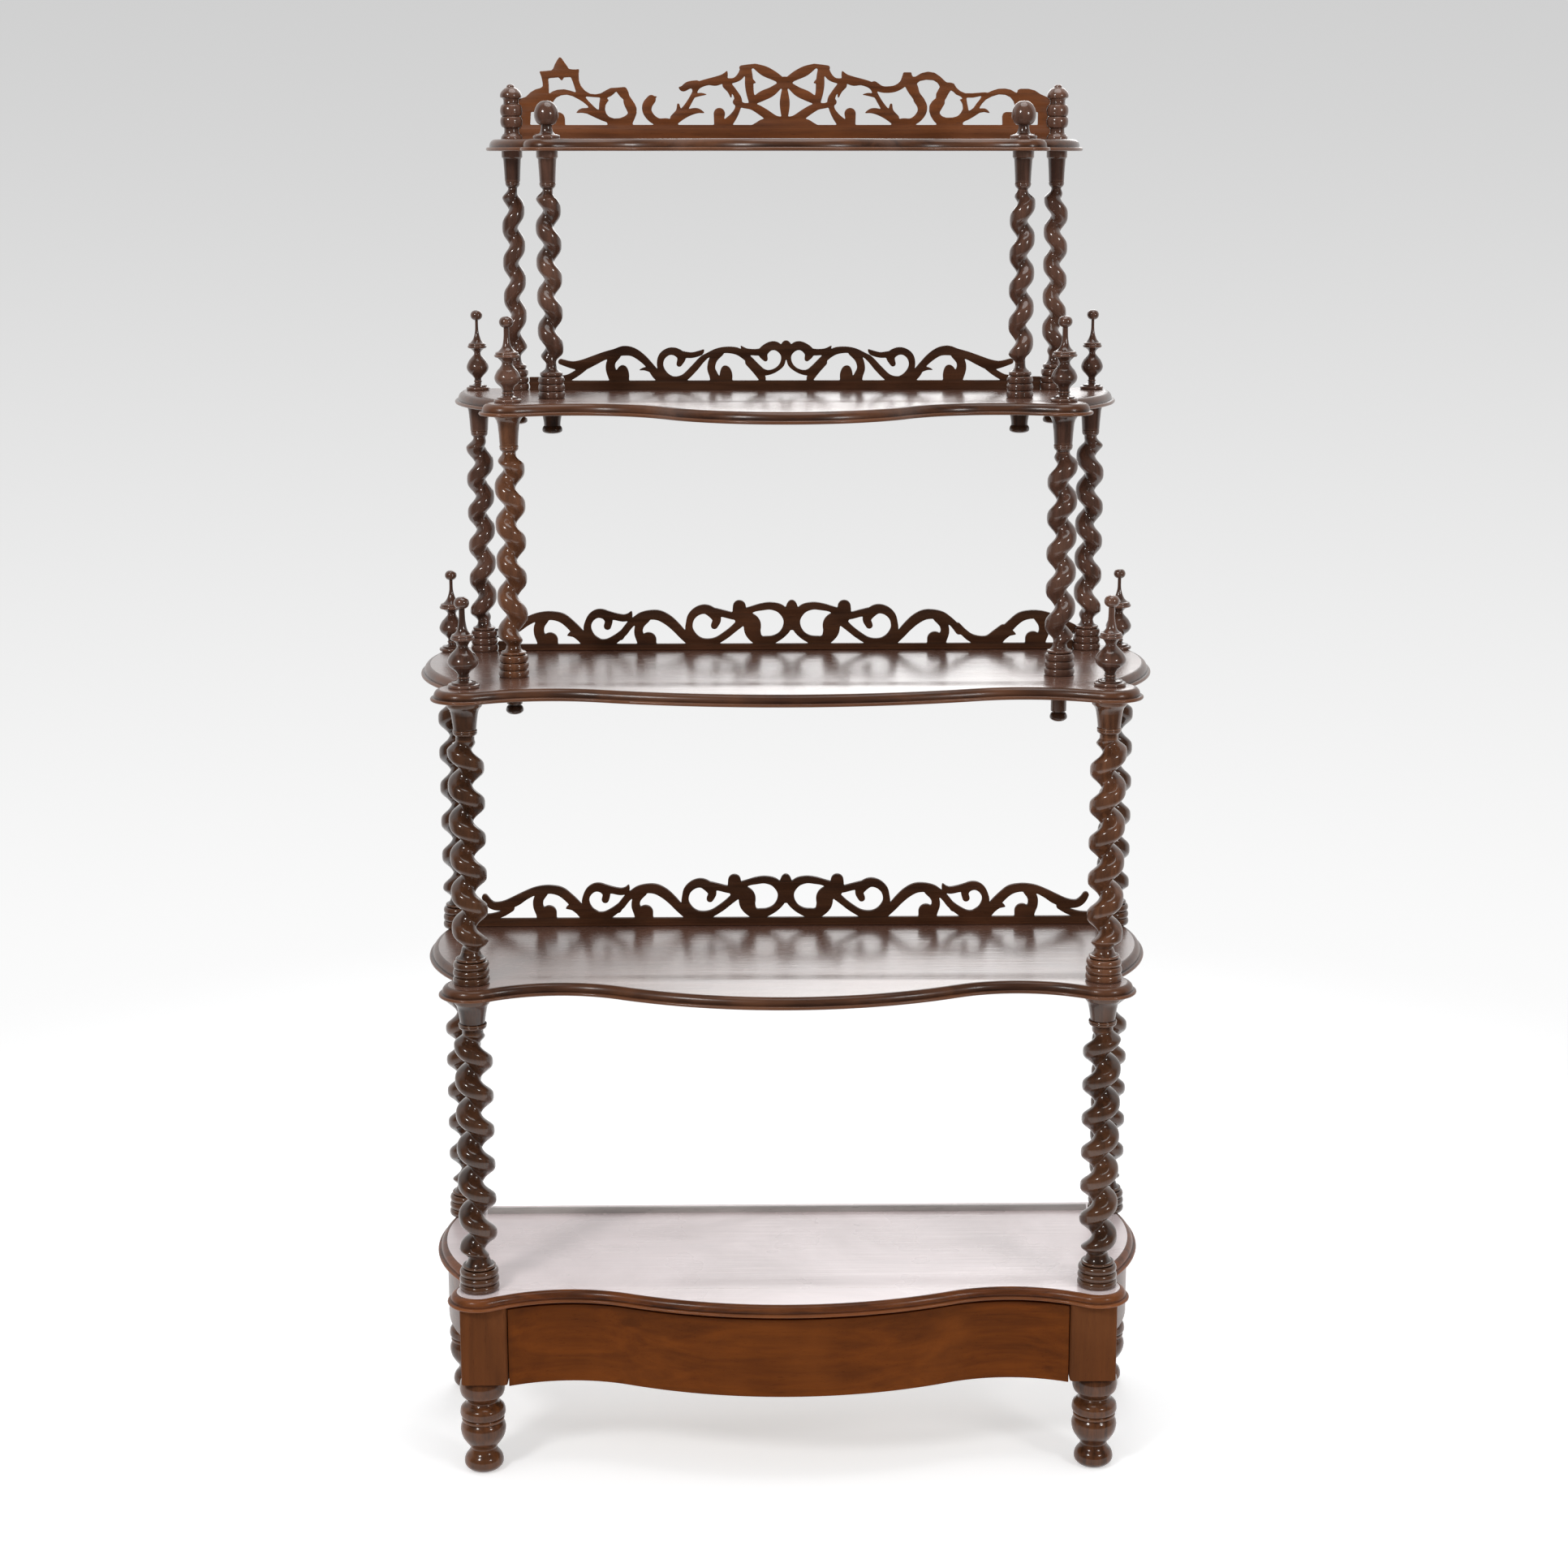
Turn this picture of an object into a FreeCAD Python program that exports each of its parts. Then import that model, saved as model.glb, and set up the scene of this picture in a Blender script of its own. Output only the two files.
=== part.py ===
import FreeCAD, Part

# Victorian five-tier etagere with barley-twist columns, fretwork galleries and one
# concealed drawer in the serpentine base.
#
# Frame: X to the right, Y to the back, Z up, millimetres.  The origin lies on the floor in
# the middle of the plan.  Feet have eight flat sides, other turned pieces six and the
# strands four.
# The shelves are named from the top: crown, upper, middle, lower and base.  A column, a
# gallery or a finial is named after the shelf that it carries or stands on.

import math
import os

import Sketcher

from FreeCAD import Placement, Rotation, Vector

# ---------------------------------------------------------------- driving dimensions
# alias, value, meaning
DIMENSIONS = [
    ("board", 14.0, "thickness of every shelf"),
    ("edge_splay", 10.0, "width and drop of the moulded shelf edge"),
    ("back_edge", 184.0, "flat back edge of every shelf"),
    ("crown_z", 1640.0, "top face of the crown shelf"),
    ("upper_z", 1333.4, "top face of the upper shelf"),
    ("middle_z", 1002.2, "top face of the middle shelf"),
    ("lower_z", 637.1, "top face of the lower shelf"),
    ("base_z", 240.5, "top face of the base"),
    ("back_row", 158.0, "depth of all back columns and of the galleries"),
    ("crown_front_x", 283.9, "crown columns, front pair"),
    ("crown_front_y", 29.7, "crown columns, front pair"),
    ("crown_back_x", 336.7, "crown columns, back pair"),
    ("upper_front_x", 331.8, "upper columns, front pair"),
    ("upper_front_y", -29.7, "upper columns, front pair"),
    ("upper_back_x", 385.5, "upper columns, back pair"),
    ("lower_front_x", 385.4, "middle and lower columns, front pair"),
    ("lower_front_y", -104.0, "middle and lower columns, front pair"),
    ("lower_back_x", 426.3, "middle and lower columns, back pair"),
    ("tenon_radius", 6.0, "spigots that join the turned pieces through the shelves"),
    ("tenon_length", 6.5, "depth of a spigot in the shelf"),
    ("socket_radius", 6.2, "square sockets for the spigots, half the diagonal"),
    ("gallery_thickness", 6.5, "fretwork boards"),
    ("gallery_gap", 0.1, "fretwork boards end this far from their posts"),
    ("front_block_inner", 350.8, "inner face of the front corner blocks"),
    ("front_block_width", 57.7, "front corner blocks, width"),
    ("front_block_depth", 57.7, "front corner blocks, depth"),
    ("front_block_front", -135.0, "front face of the front corner blocks"),
    ("block_corner", 3.5, "broken upright corners of the blocks"),
    ("rear_block_inner", 385.0, "inner face of the rear corner blocks"),
    ("rear_block_width", 55.0, "rear corner blocks, width"),
    ("rear_block_depth", 55.0, "rear corner blocks, depth"),
    ("rear_block_front", 119.0, "front face of the rear corner blocks"),
    ("block_bottom", 124.0, "underside of all corner blocks"),
    ("rear_foot_x", 425.5, "axis of the rear feet"),
    ("rear_foot_y", 147.0, "axis of the rear feet"),
    ("rail_thickness", 18.0, "side rails and back rail"),
    ("rail_bottom", 140.0, "lower edge of the side rails"),
    ("rail_inset", 12.0, "side rails and drawer front lie this far inside the shelf edge"),
    ("front_half_width", 350.0, "half the drawer front"),
    ("front_bottom", 118.0, "lower edge of the drawer front"),
    ("front_top", 220.0, "upper edge of the drawer front"),
    ("front_thickness", 22.0, "drawer front"),
    ("drawer_outer", 347.5, "outer face of the drawer sides"),
    ("drawer_side", 11.0, "thickness of the drawer sides"),
    ("drawer_low", 128.0, "lower edge of the drawer sides"),
    ("drawer_high", 210.0, "upper edge of the drawer sides"),
    ("drawer_rear", 110.0, "rear face of the drawer"),
    ("drawer_back_thickness", 10.0, "drawer back"),
    ("bottom_panel", 6.0, "drawer bottom"),
    ("bottom_raise", 6.0, "drawer bottom above the lower edge of the sides"),
    ("groove", 5.0, "depth of the grooves that hold the drawer bottom"),
    ("run_gap", 0.3, "clearance under the drawer"),
    ("runner_inner", 330.0, "inner face of the runners and kickers"),
    ("runner_outer", 356.0, "outer face of the runners"),
    ("runner_bottom", 118.0, "underside of the runners"),
    ("guide_inner", 348.5, "inner face of the guides on the runners"),
    ("guide_top", 150.0, "upper edge of the guides"),
    ("bearer_front", -84.0, "front edge of the bearer under the drawer"),
    ("bearer_back", -60.0, "rear edge of the bearer under the drawer"),
    ("back_rail_front", 122.0, "front face of the back rail"),
    ("back_rail_bottom", 118.0, "lower edge of the back rail"),
    ("kicker_height", 12.0, "kickers above the drawer sides"),
    ("seat_gap", 0.1, "room between the drawer front and its sides, and round the panel"),
    ("panel_play", 0.2, "the drawer bottom stops this far short of the end of its grooves"),
    ("panel_set", 1.0, "the drawer bottom ends this far before the rear of the drawer"),
    ("strip_half_length", 400.0, "low strip at the back of the base"),
    ("strip_height", 7.5, "low strip at the back of the base"),
    ("strip_thickness", 8.0, "low strip at the back of the base"),
    ("front_joint", -109.5, "joint between the base top and its front moulding"),
]

SIZE = {alias: value for alias, value, _ in DIMENSIONS}

# Plan of each shelf: axis of the front columns, how far the rounded front corner is centred
# before that axis, its radius, the widest half width and where it lies, the radius of the side,
# the place of the recess beside the bow and the front of the bow.
PLANS = {
    "crown": dict(corner=("crown_front_x", "crown_front_y"), forward=8.0, corner_radius=31.5,
                  half_width=367.5, widest=151.0, side_radius=120.0, recess=(215.0, 6.5), bow=-84.0),
    "upper": dict(corner=("upper_front_x", "upper_front_y"), forward=12.0, corner_radius=34.0,
                  half_width=413.0, widest=151.0, side_radius=215.0, recess=(250.0, -54.7),
                  bow=-176.0),
    "middle": dict(corner=("lower_front_x", "lower_front_y"), forward=7.0, corner_radius=39.5,
                   half_width=457.0, widest=86.0, side_radius=245.0, recess=(280.0, -123.0),
                   bow=-168.0),
    "lower": dict(corner=("lower_front_x", "lower_front_y"), forward=7.0, corner_radius=39.5,
                  half_width=457.0, widest=86.0, side_radius=245.0, recess=(277.0, -117.5),
                  bow=-184.0),
    "base": dict(corner=("lower_front_x", "lower_front_y"), forward=7.0, corner_radius=39.5,
                 half_width=457.0, widest=86.0, side_radius=245.0, recess=(273.0, -120.0),
                 bow=-174.0),
}

# One entry for each tier of columns: shelf below, shelf above, front and back axis, twist
# (pitch, eccentricity, radius of the strand), rings, capital and their heights.
TIERS = {
    "crown": dict(below="upper", front=("crown_front_x", "crown_front_y"), back="crown_back_x",
                  pitch=40.8, throw=4.6, strand=10.3, ring=16.3, base_height=43.0,
                  flange=14.0, flange_height=7.0, body=10.6, collar=11.0,
                  neck=6.0, capital_height=52.0),
    "upper": dict(below="middle", front=("upper_front_x", "upper_front_y"), back="upper_back_x",
                  pitch=43.6, throw=5.6, strand=12.2, ring=18.4, base_height=38.0,
                  flange=18.6, flange_height=13.0, body=13.4, collar=13.4,
                  neck=8.4, capital_height=47.0),
    "middle": dict(below="lower", front=("lower_front_x", "lower_front_y"), back="lower_back_x",
                   pitch=44.0, throw=7.4, strand=14.6, ring=22.3, base_height=40.0,
                   flange=21.8, flange_height=17.0, body=16.4, collar=17.4,
                   neck=11.5, capital_height=50.0),
    "lower": dict(below="base", front=("lower_front_x", "lower_front_y"), back="lower_back_x",
                  pitch=43.6, throw=7.6, strand=16.2, ring=24.8, base_height=43.0,
                  flange=22.6, flange_height=20.0, body=17.0, collar=19.0,
                  neck=13.0, capital_height=43.0),
}

# Base and capital of a column: share of its height, radius of the tier, share of that radius.
# The capital ends in the flange, which starts at its own height below the shelf.
BASE_PROFILE = [(0.0, "ring", 1.0), (0.23, "ring", 0.87), (0.36, "ring", 1.0),
                (0.48, "ring", 0.87), (0.6, "ring", 1.0), (0.78, "ring", 0.72),
                (1.0, "neck", 1.0)]
CAPITAL_PROFILE = [(0.0, "neck", 1.0), (0.2, "collar", 1.0), (0.3, "body", 0.9)]

# Height above the shelf of a point where the strand leans to +X, by tier and corner.
STRAND_PHASE = {
    "crown": dict(front_left=61.2, front_right=67.1, back_left=48.9, back_right=53.5),
    "upper": dict(front_left=76.1, front_right=83.8, back_left=70.4, back_right=51.5),
    "middle": dict(front_left=92.0, front_right=59.5, back_left=71.9, back_right=54.8),
    "lower": dict(front_left=74.8, front_right=66.4, back_left=62.9, back_right=83.2),
}

TURNED_SIDES = 6     # facets round a ring, a capital or a finial
FOOT_SIDES = 8       # facets round a foot
STRAND_SIDES = 4     # facets round the twisted strand and the spigots
NOTCH_ROUND = 4.0    # radius in the notch between a corner and the side of a shelf
EASE_SHARE = 1 / 3   # share of a pitch over which a strand grows out of its neck
LEAST_SHARE = 0.3    # share of a quarter turn that is left between two of its sections
TOUCH = 0.01         # two places closer than this count as one

# Turned profiles: height and radius of each station.
TALL_FINIAL = [(0, 19.4), (5, 18.0), (15, 7.2), (30, 18.8), (47, 7.2), (61, 16.6), (73, 9.0),
               (95, 3.8), (103, 8.5), (112, 2.4)]
LARGE_FINIAL = [(0, 16.8), (5, 15.8), (14, 6.0), (27, 15.6), (44, 7.5), (58, 15.4), (70, 8.0),
                (91, 3.6), (97, 7.6), (104, 2.0)]
SMALL_FINIAL = [(0, 14.6), (5, 13.6), (14, 4.9), (26, 13.9), (42, 5.0), (54, 13.2), (64, 6.8),
                (84, 2.8), (91, 6.8), (98, 1.6)]
BALL_FINIAL = [(0, 17.2), (4, 17.2), (13, 5.0), (21, 14.0), (29, 15.2), (38, 11.0), (44, 2.0)]
CONE_FINIAL = [(0, 13.6), (12, 7.6), (19, 13.9), (25, 10.6), (31, 13.9), (39, 8.0), (48, 13.5),
               (68, 2.5)]
FINIALS = {
    "crown": dict(front=BALL_FINIAL, back=CONE_FINIAL),
    "upper": dict(front=LARGE_FINIAL, back=SMALL_FINIAL),
    "middle": dict(front=TALL_FINIAL, back=LARGE_FINIAL),
}
SMALL_PENDANT = [(-29, 4.0), (-24, 12.2), (-18, 9.8), (0, 12.8)]
SHORT_PENDANT = [(-33, 4.0), (-27, 10.6), (-20, 7.7), (0, 9.6)]
LONG_PENDANT = [(-44, 4.0), (-38, 10.6), (-31, 7.7), (0, 9.6)]
PENDANTS = {
    "crown": dict(left=SMALL_PENDANT, right=SMALL_PENDANT),
    "upper": dict(left=SHORT_PENDANT, right=LONG_PENDANT),
}
FOOT = [(0, 15.0), (12, 24.4), (28, 17.0), (42, 23.0), (50, 28.6), (62, 25.6), (74, 28.6),
        (91, 18.6), (104, 28.4), (124, 28.4)]

# ---------------------------------------------------------------- fretwork galleries
# A gallery is drawn from bands: each band is a list of (x, height, width) on its centre
# line.  x counts from the middle of the gallery, and most bands are mirrored to the left.

UPPER_BANDS = [
    [(0, 58, 6), (0, 54, 13), (0, 46, 15), (1, 40, 5)],
    [(26, 38, 6), (29, 46, 12), (22, 53, 11), (14, 54.5, 11), (7, 50, 9), (3.5, 42, 6),
     (5, 32, 6), (12, 25, 5), (21, 21.5, 6), (29, 22, 8), (37, 28, 9), (45, 36, 9), (53, 43, 9),
     (62, 48, 9), (74, 49.5, 8), (86, 48, 7), (97, 43.5, 6), (106, 37, 8), (116, 26, 9),
     (128, 15, 9), (140, 12, 9), (149, 16, 8), (156, 24, 8), (158, 33, 8), (155, 42, 9),
     (147, 47.5, 9), (138, 47, 10), (131, 41, 11), (134, 32, 7)],
    [(30, 47, 9), (40, 46.5, 8), (50, 48, 7), (57, 54.5, 1)],
    [(30, 14, 9), (38, 24, 9), (47, 34, 9)],
    [(130, 44, 8), (118, 43, 7), (107, 46, 6), (103, 50, 1)],
    [(82, 46, 8), (91, 38, 10), (94, 27, 10), (91, 18, 11), (88, 10, 14)],
    [(75.5, 10, 15), (75.5, 18, 16), (76, 24, 12), (77, 27, 5)],
    [(152, 12, 10), (162, 18, 11), (171, 30, 9), (181, 40, 10), (192, 47, 11), (203, 48.5, 12),
     (214, 46, 10), (228, 42, 10), (242, 36, 12), (255, 31, 13), (268, 31, 9), (282, 35, 7)],
    [(248, 30, 5), (262, 21, 8), (274, 15, 8), (290, 14, 6)],
    [(212, 43, 10), (219, 35, 11), (220, 26, 12), (216, 16, 14)],
    [(205, 10, 15), (205.5, 18, 17), (205, 24, 13), (204, 28, 5)],
    [(168, 24, 6), (177, 26, 4), (184, 24.5, 1)],
]

LARGE_BANDS = [
    [(0, 67, 6), (0, 62, 15), (0, 50, 18), (0, 38, 14), (0, 33, 5)],
    [(60, 52, 12), (50, 57, 8), (38, 60, 9), (26, 61, 9.5), (14, 57, 11), (6, 46, 11),
     (6, 34, 11), (13, 24, 9), (23, 18, 10), (34, 15, 14)],
    [(34, 14, 14), (44, 18, 14), (50, 28, 20), (51, 38, 22), (57, 46, 16)],
    [(67, 68, 6), (67, 63, 17), (67, 52, 18), (65, 42, 14)],
    [(99, 36, 8), (96, 44, 11), (101, 52, 13), (110, 57, 12), (120, 55, 11), (128, 48, 10),
     (131, 39, 9), (131, 30, 10), (125, 20, 11), (116, 14, 12), (105, 13, 12), (95, 17, 9),
     (84, 24, 9), (74, 32, 9), (64, 41, 11)],
    [(98, 53, 11), (88, 51.5, 9), (76, 48.5, 9), (68, 48, 10)],
    [(128, 13, 10), (139, 24, 11), (148, 34, 12), (158, 43, 13), (169, 49, 13), (180, 50, 12),
     (191, 48, 11), (199, 44, 9), (207, 37, 9), (214, 28, 9)],
    [(186, 45, 10), (194, 37, 11), (196, 27, 11), (192, 17, 13), (189, 10, 16)],
    [(180.5, 8, 17), (181, 18, 17), (181, 24, 13), (182, 28, 5)],
    [(264, 15, 12), (273, 27, 13), (283, 38, 12), (293, 46, 12), (304, 49, 11), (315, 49, 11),
     (327, 47, 10), (340, 41, 11), (352, 34, 13), (364, 29, 12), (374, 28, 10), (383, 32, 8),
     (389, 38, 8), (391, 44, 3)],
    [(315, 45, 10), (322, 37, 13), (323, 27, 13), (319, 17, 14), (316, 10, 18)],
    [(306.5, 8, 17), (307, 18, 18), (306, 25, 14), (305, 30, 6)],
    [(276, 29, 9), (282, 27.5, 6), (287, 25.5, 1)],
]
LARGE_SCROLL = [
    [(235, 36, 8), (233, 43, 10), (238, 50, 12), (247, 52, 11), (255, 48, 10), (260, 40, 9),
     (261, 31, 10), (256, 21, 10), (248, 14, 12)],
    [(214, 28, 9), (224, 20, 10), (236, 13, 12), (248, 13, 12), (262, 16, 10)],
    [(236, 50, 11), (226, 48, 9), (215, 46, 9), (208, 48, 8), (205, 54, 2)],
    [(219, 22, 9), (212, 32, 8), (204, 42, 8)],
]
LARGE_DIP = [
    [(212, 30, 9), (220, 22, 9), (229, 15, 10), (241, 11, 12), (252, 12, 12), (262, 19, 12),
     (271, 27, 10)],
]
LARGE_TAIL = [[(358, 24, 8), (370, 17, 8), (384, 13, 8), (400, 12, 8)]]

CROWN_BANDS = [
    [(0, 26, 7), (0, 34, 10), (0, 44, 12), (0, 54, 10), (0, 62, 8)],
    [(0, 75, 18), (0, 67, 20), (0, 62, 9)],
    [(4, 71, 9), (14, 75, 10), (26, 82, 10), (37, 88, 7)],
    [(6, 66, 7), (16, 58.5, 11), (27, 51, 9), (38, 46, 9)],
    [(46, 89, 10), (44, 80, 10), (43, 68, 10), (43, 56, 9), (40, 45, 9)],
    [(36, 90, 4), (45, 88, 7), (54, 87, 5)],
    [(50, 86, 9), (55, 76, 8), (62, 71, 6), (71, 70, 7)],
    [(71, 82, 1), (75, 74, 9), (84, 70, 11), (94, 69, 8), (104, 66, 8), (110, 62, 9)],
    [(72, 65, 9), (68, 58, 5), (66, 51, 2)],
    [(68, 65, 7), (61, 56, 7), (57, 47, 9), (58, 37, 7), (63, 28, 9), (70, 20, 12)],
    [(60, 46, 8), (51, 42, 7), (41, 40.5, 8), (33, 35, 11), (24, 28, 13), (12, 22, 14),
     (0, 20, 14)],
    [(0, 17, 10), (12, 19, 12), (24, 20, 13), (31, 19, 9)],
    [(79, 18, 14), (79.5, 28, 14), (80, 34, 11), (80, 38, 4)],
    [(99, 32, 1), (107, 34.5, 6), (116, 33, 8), (126, 28, 8), (138, 20, 9)],
    [(108, 64, 7), (111, 56, 6), (116, 47, 6), (122, 38, 7), (128, 32, 7)],
    [(112, 52, 4), (104, 54, 4), (96, 54, 1)],
    [(136, 18, 9), (145, 21, 9), (155, 21, 9), (163, 25, 10), (169, 33, 11), (169, 41, 12),
     (164, 48, 11)],
    [(131, 42, 3), (131, 34, 6), (137, 26, 8)],
    [(206, 62, 13), (196, 58, 13), (190, 49, 13), (185, 40, 13), (185, 31, 10), (191, 23, 10),
     (200, 21, 9), (210, 23, 9), (218, 29, 9), (222, 37, 8), (222, 46, 7), (221, 54, 7)],
    [(202, 65, 7), (213, 60, 9), (222, 55, 6), (234, 53.5, 6), (246, 55, 8)],
    [(247, 54, 9), (240, 46, 8), (233, 38, 8), (226, 30, 10), (214, 22, 10)],
    [(252, 33, 1), (245, 35.5, 5), (237, 33.5, 6), (226, 27, 7)],
    [(246, 53, 6), (256, 56, 7), (266, 58.5, 7), (275, 56, 7), (283, 50, 9), (288, 42, 9)],
    [(274.5, 15, 11), (274.5, 24, 13), (275, 30, 10), (276, 34, 3)],
    [(285, 48, 24), (302, 48, 24), (311, 46.5, 21), (320, 44, 16), (330, 43, 14)],
]
# Only on the right: swag, upright stub and arch.
CROWN_RIGHT = [
    [(110, 65, 10), (119, 60.5, 8), (129, 60, 8), (138, 62, 8), (146, 68, 9), (151, 80, 10)],
    [(151, 78, 9), (153, 70, 13), (157, 62, 14), (161, 54, 11), (167, 46, 11)],
    [(154, 71, 6), (162, 73, 9), (170, 76, 9), (178, 76.5, 9), (187, 73, 9), (196, 66, 10)],
]
# Only on the left: leaf tip, curl, flat broken top and the crown with its peak.
CROWN_LEFT = [
    [(108, 67, 8), (118, 65, 9), (125, 61, 7), (132, 63, 1)],
    [(166, 48, 8), (162, 50, 4), (157, 51.5, 1)],
    [(196, 61, 5), (206, 60, 6), (215, 58, 7)],
    [(296, 60, 9), (295, 70, 9), (298, 80, 4)],
    [(256, 56, 8), (258, 64, 8), (257, 74, 8), (252, 83, 3)],
    [(298, 79, 6), (288, 79, 9), (276, 80, 12), (262, 79, 9), (252, 81, 5)],
    [(277, 82, 17), (276, 90, 12), (275, 99, 2)],
    [(276, 76, 8), (274, 69, 1)],
]

# Each gallery: the posts that it stands between and their radius, the middle of the fretwork,
# the height of the rail and of the plain ends.
GALLERIES = {
    "crown": dict(post="crown_back_x", post_radius=14.0, centre=-2.0, rail=18.0, end=50.5),
    "upper": dict(post="crown_back_x", post_radius=16.3, centre=1.0, rail=11.5, end=16.0),
    "middle": dict(post="upper_back_x", post_radius=18.4, centre=7.5, rail=8.5, end=12.0),
    "lower": dict(post="lower_back_x", post_radius=22.3, centre=-1.0, rail=11.0, end=16.0),
}
GALLERY_END = 22.0       # length of the plain end of a gallery
GALLERY_ROOM = 150.0     # no fretwork rises so high
MIDDLE_DROP = 4.5        # the middle gallery has the lower gallery's fret, set lower
FRET_TOLERANCE = 0.8     # corners of the fret that stand out by less are left out


def side_name(sign):
    """Name of the left or right half."""
    return "right" if sign > 0 else "left"


# ---------------------------------------------------------------- document and sheet

def fill_sheet(doc):
    """Put the driving dimensions in a spreadsheet and give each cell its alias."""
    sheet = doc.addObject("Spreadsheet::Sheet", "Dimensions")
    for row, (alias, value, meaning) in enumerate(DIMENSIONS, start=1):
        sheet.set(f"A{row}", meaning)
        sheet.set(f"B{row}", str(value))
        sheet.setAlias(f"B{row}", alias)
    doc.recompute()
    return sheet


def bind(target, **formulas):
    """Bind properties to the sheet; a word in a formula that is an alias is looked up there."""
    for name, formula in formulas.items():
        words = formula.replace("(", "( ").replace(")", " )").split()
        text = " ".join(f"Dimensions.{word}" if word in SIZE else word for word in words)
        target.setExpression(name.replace("__", "."), text)


def origin_plane(body, role):
    """The origin plane of a body with the given role."""
    return next(item for item in body.Origin.OriginFeatures if item.Role == role)


def new_sketch(body, name, role="XY_Plane"):
    """A sketch on one of the body's own origin planes."""
    sketch = body.newObject("Sketcher::SketchObject", name)
    sketch.AttachmentSupport = [(origin_plane(body, role), "")]
    sketch.MapMode = "FlatFace"
    return sketch


def new_body(doc, label):
    """An empty body whose label is the name of its file."""
    body = doc.addObject("PartDesign::Body", label)
    body.Label = label
    return body


def draw_loop(sketch, edges):
    """Draw a closed loop of lines and arcs given as (start, end) or (start, middle, end)."""
    for points in edges:
        if len(points) == 2:
            sketch.addGeometry(Part.LineSegment(*points), False)
        else:
            sketch.addGeometry(Part.Arc(*points), False)


def socket_corners(x, y):
    """Corners of a square socket that a spigot fits with a little room."""
    reach = SIZE["socket_radius"]
    return [Vector(x + reach, y, 0), Vector(x, y + reach, 0), Vector(x - reach, y, 0),
            Vector(x, y - reach, 0)]


def loop(points):
    """The straight edges of a closed outline."""
    return list(zip(points, points[1:] + points[:1]))


def cut_sockets(body, label, places):
    """Pocket a square socket through the board at each place."""
    sketch = new_sketch(body, f"{label}_sockets")
    for x, y in places:
        draw_loop(sketch, loop(socket_corners(x, y)))
    pocket = body.newObject("PartDesign::Pocket", f"{label}_through")
    pocket.Profile = sketch
    pocket.Reversed = True
    bind(pocket, Length="board")
    return pocket


# ---------------------------------------------------------------- plan of the shelves

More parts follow.
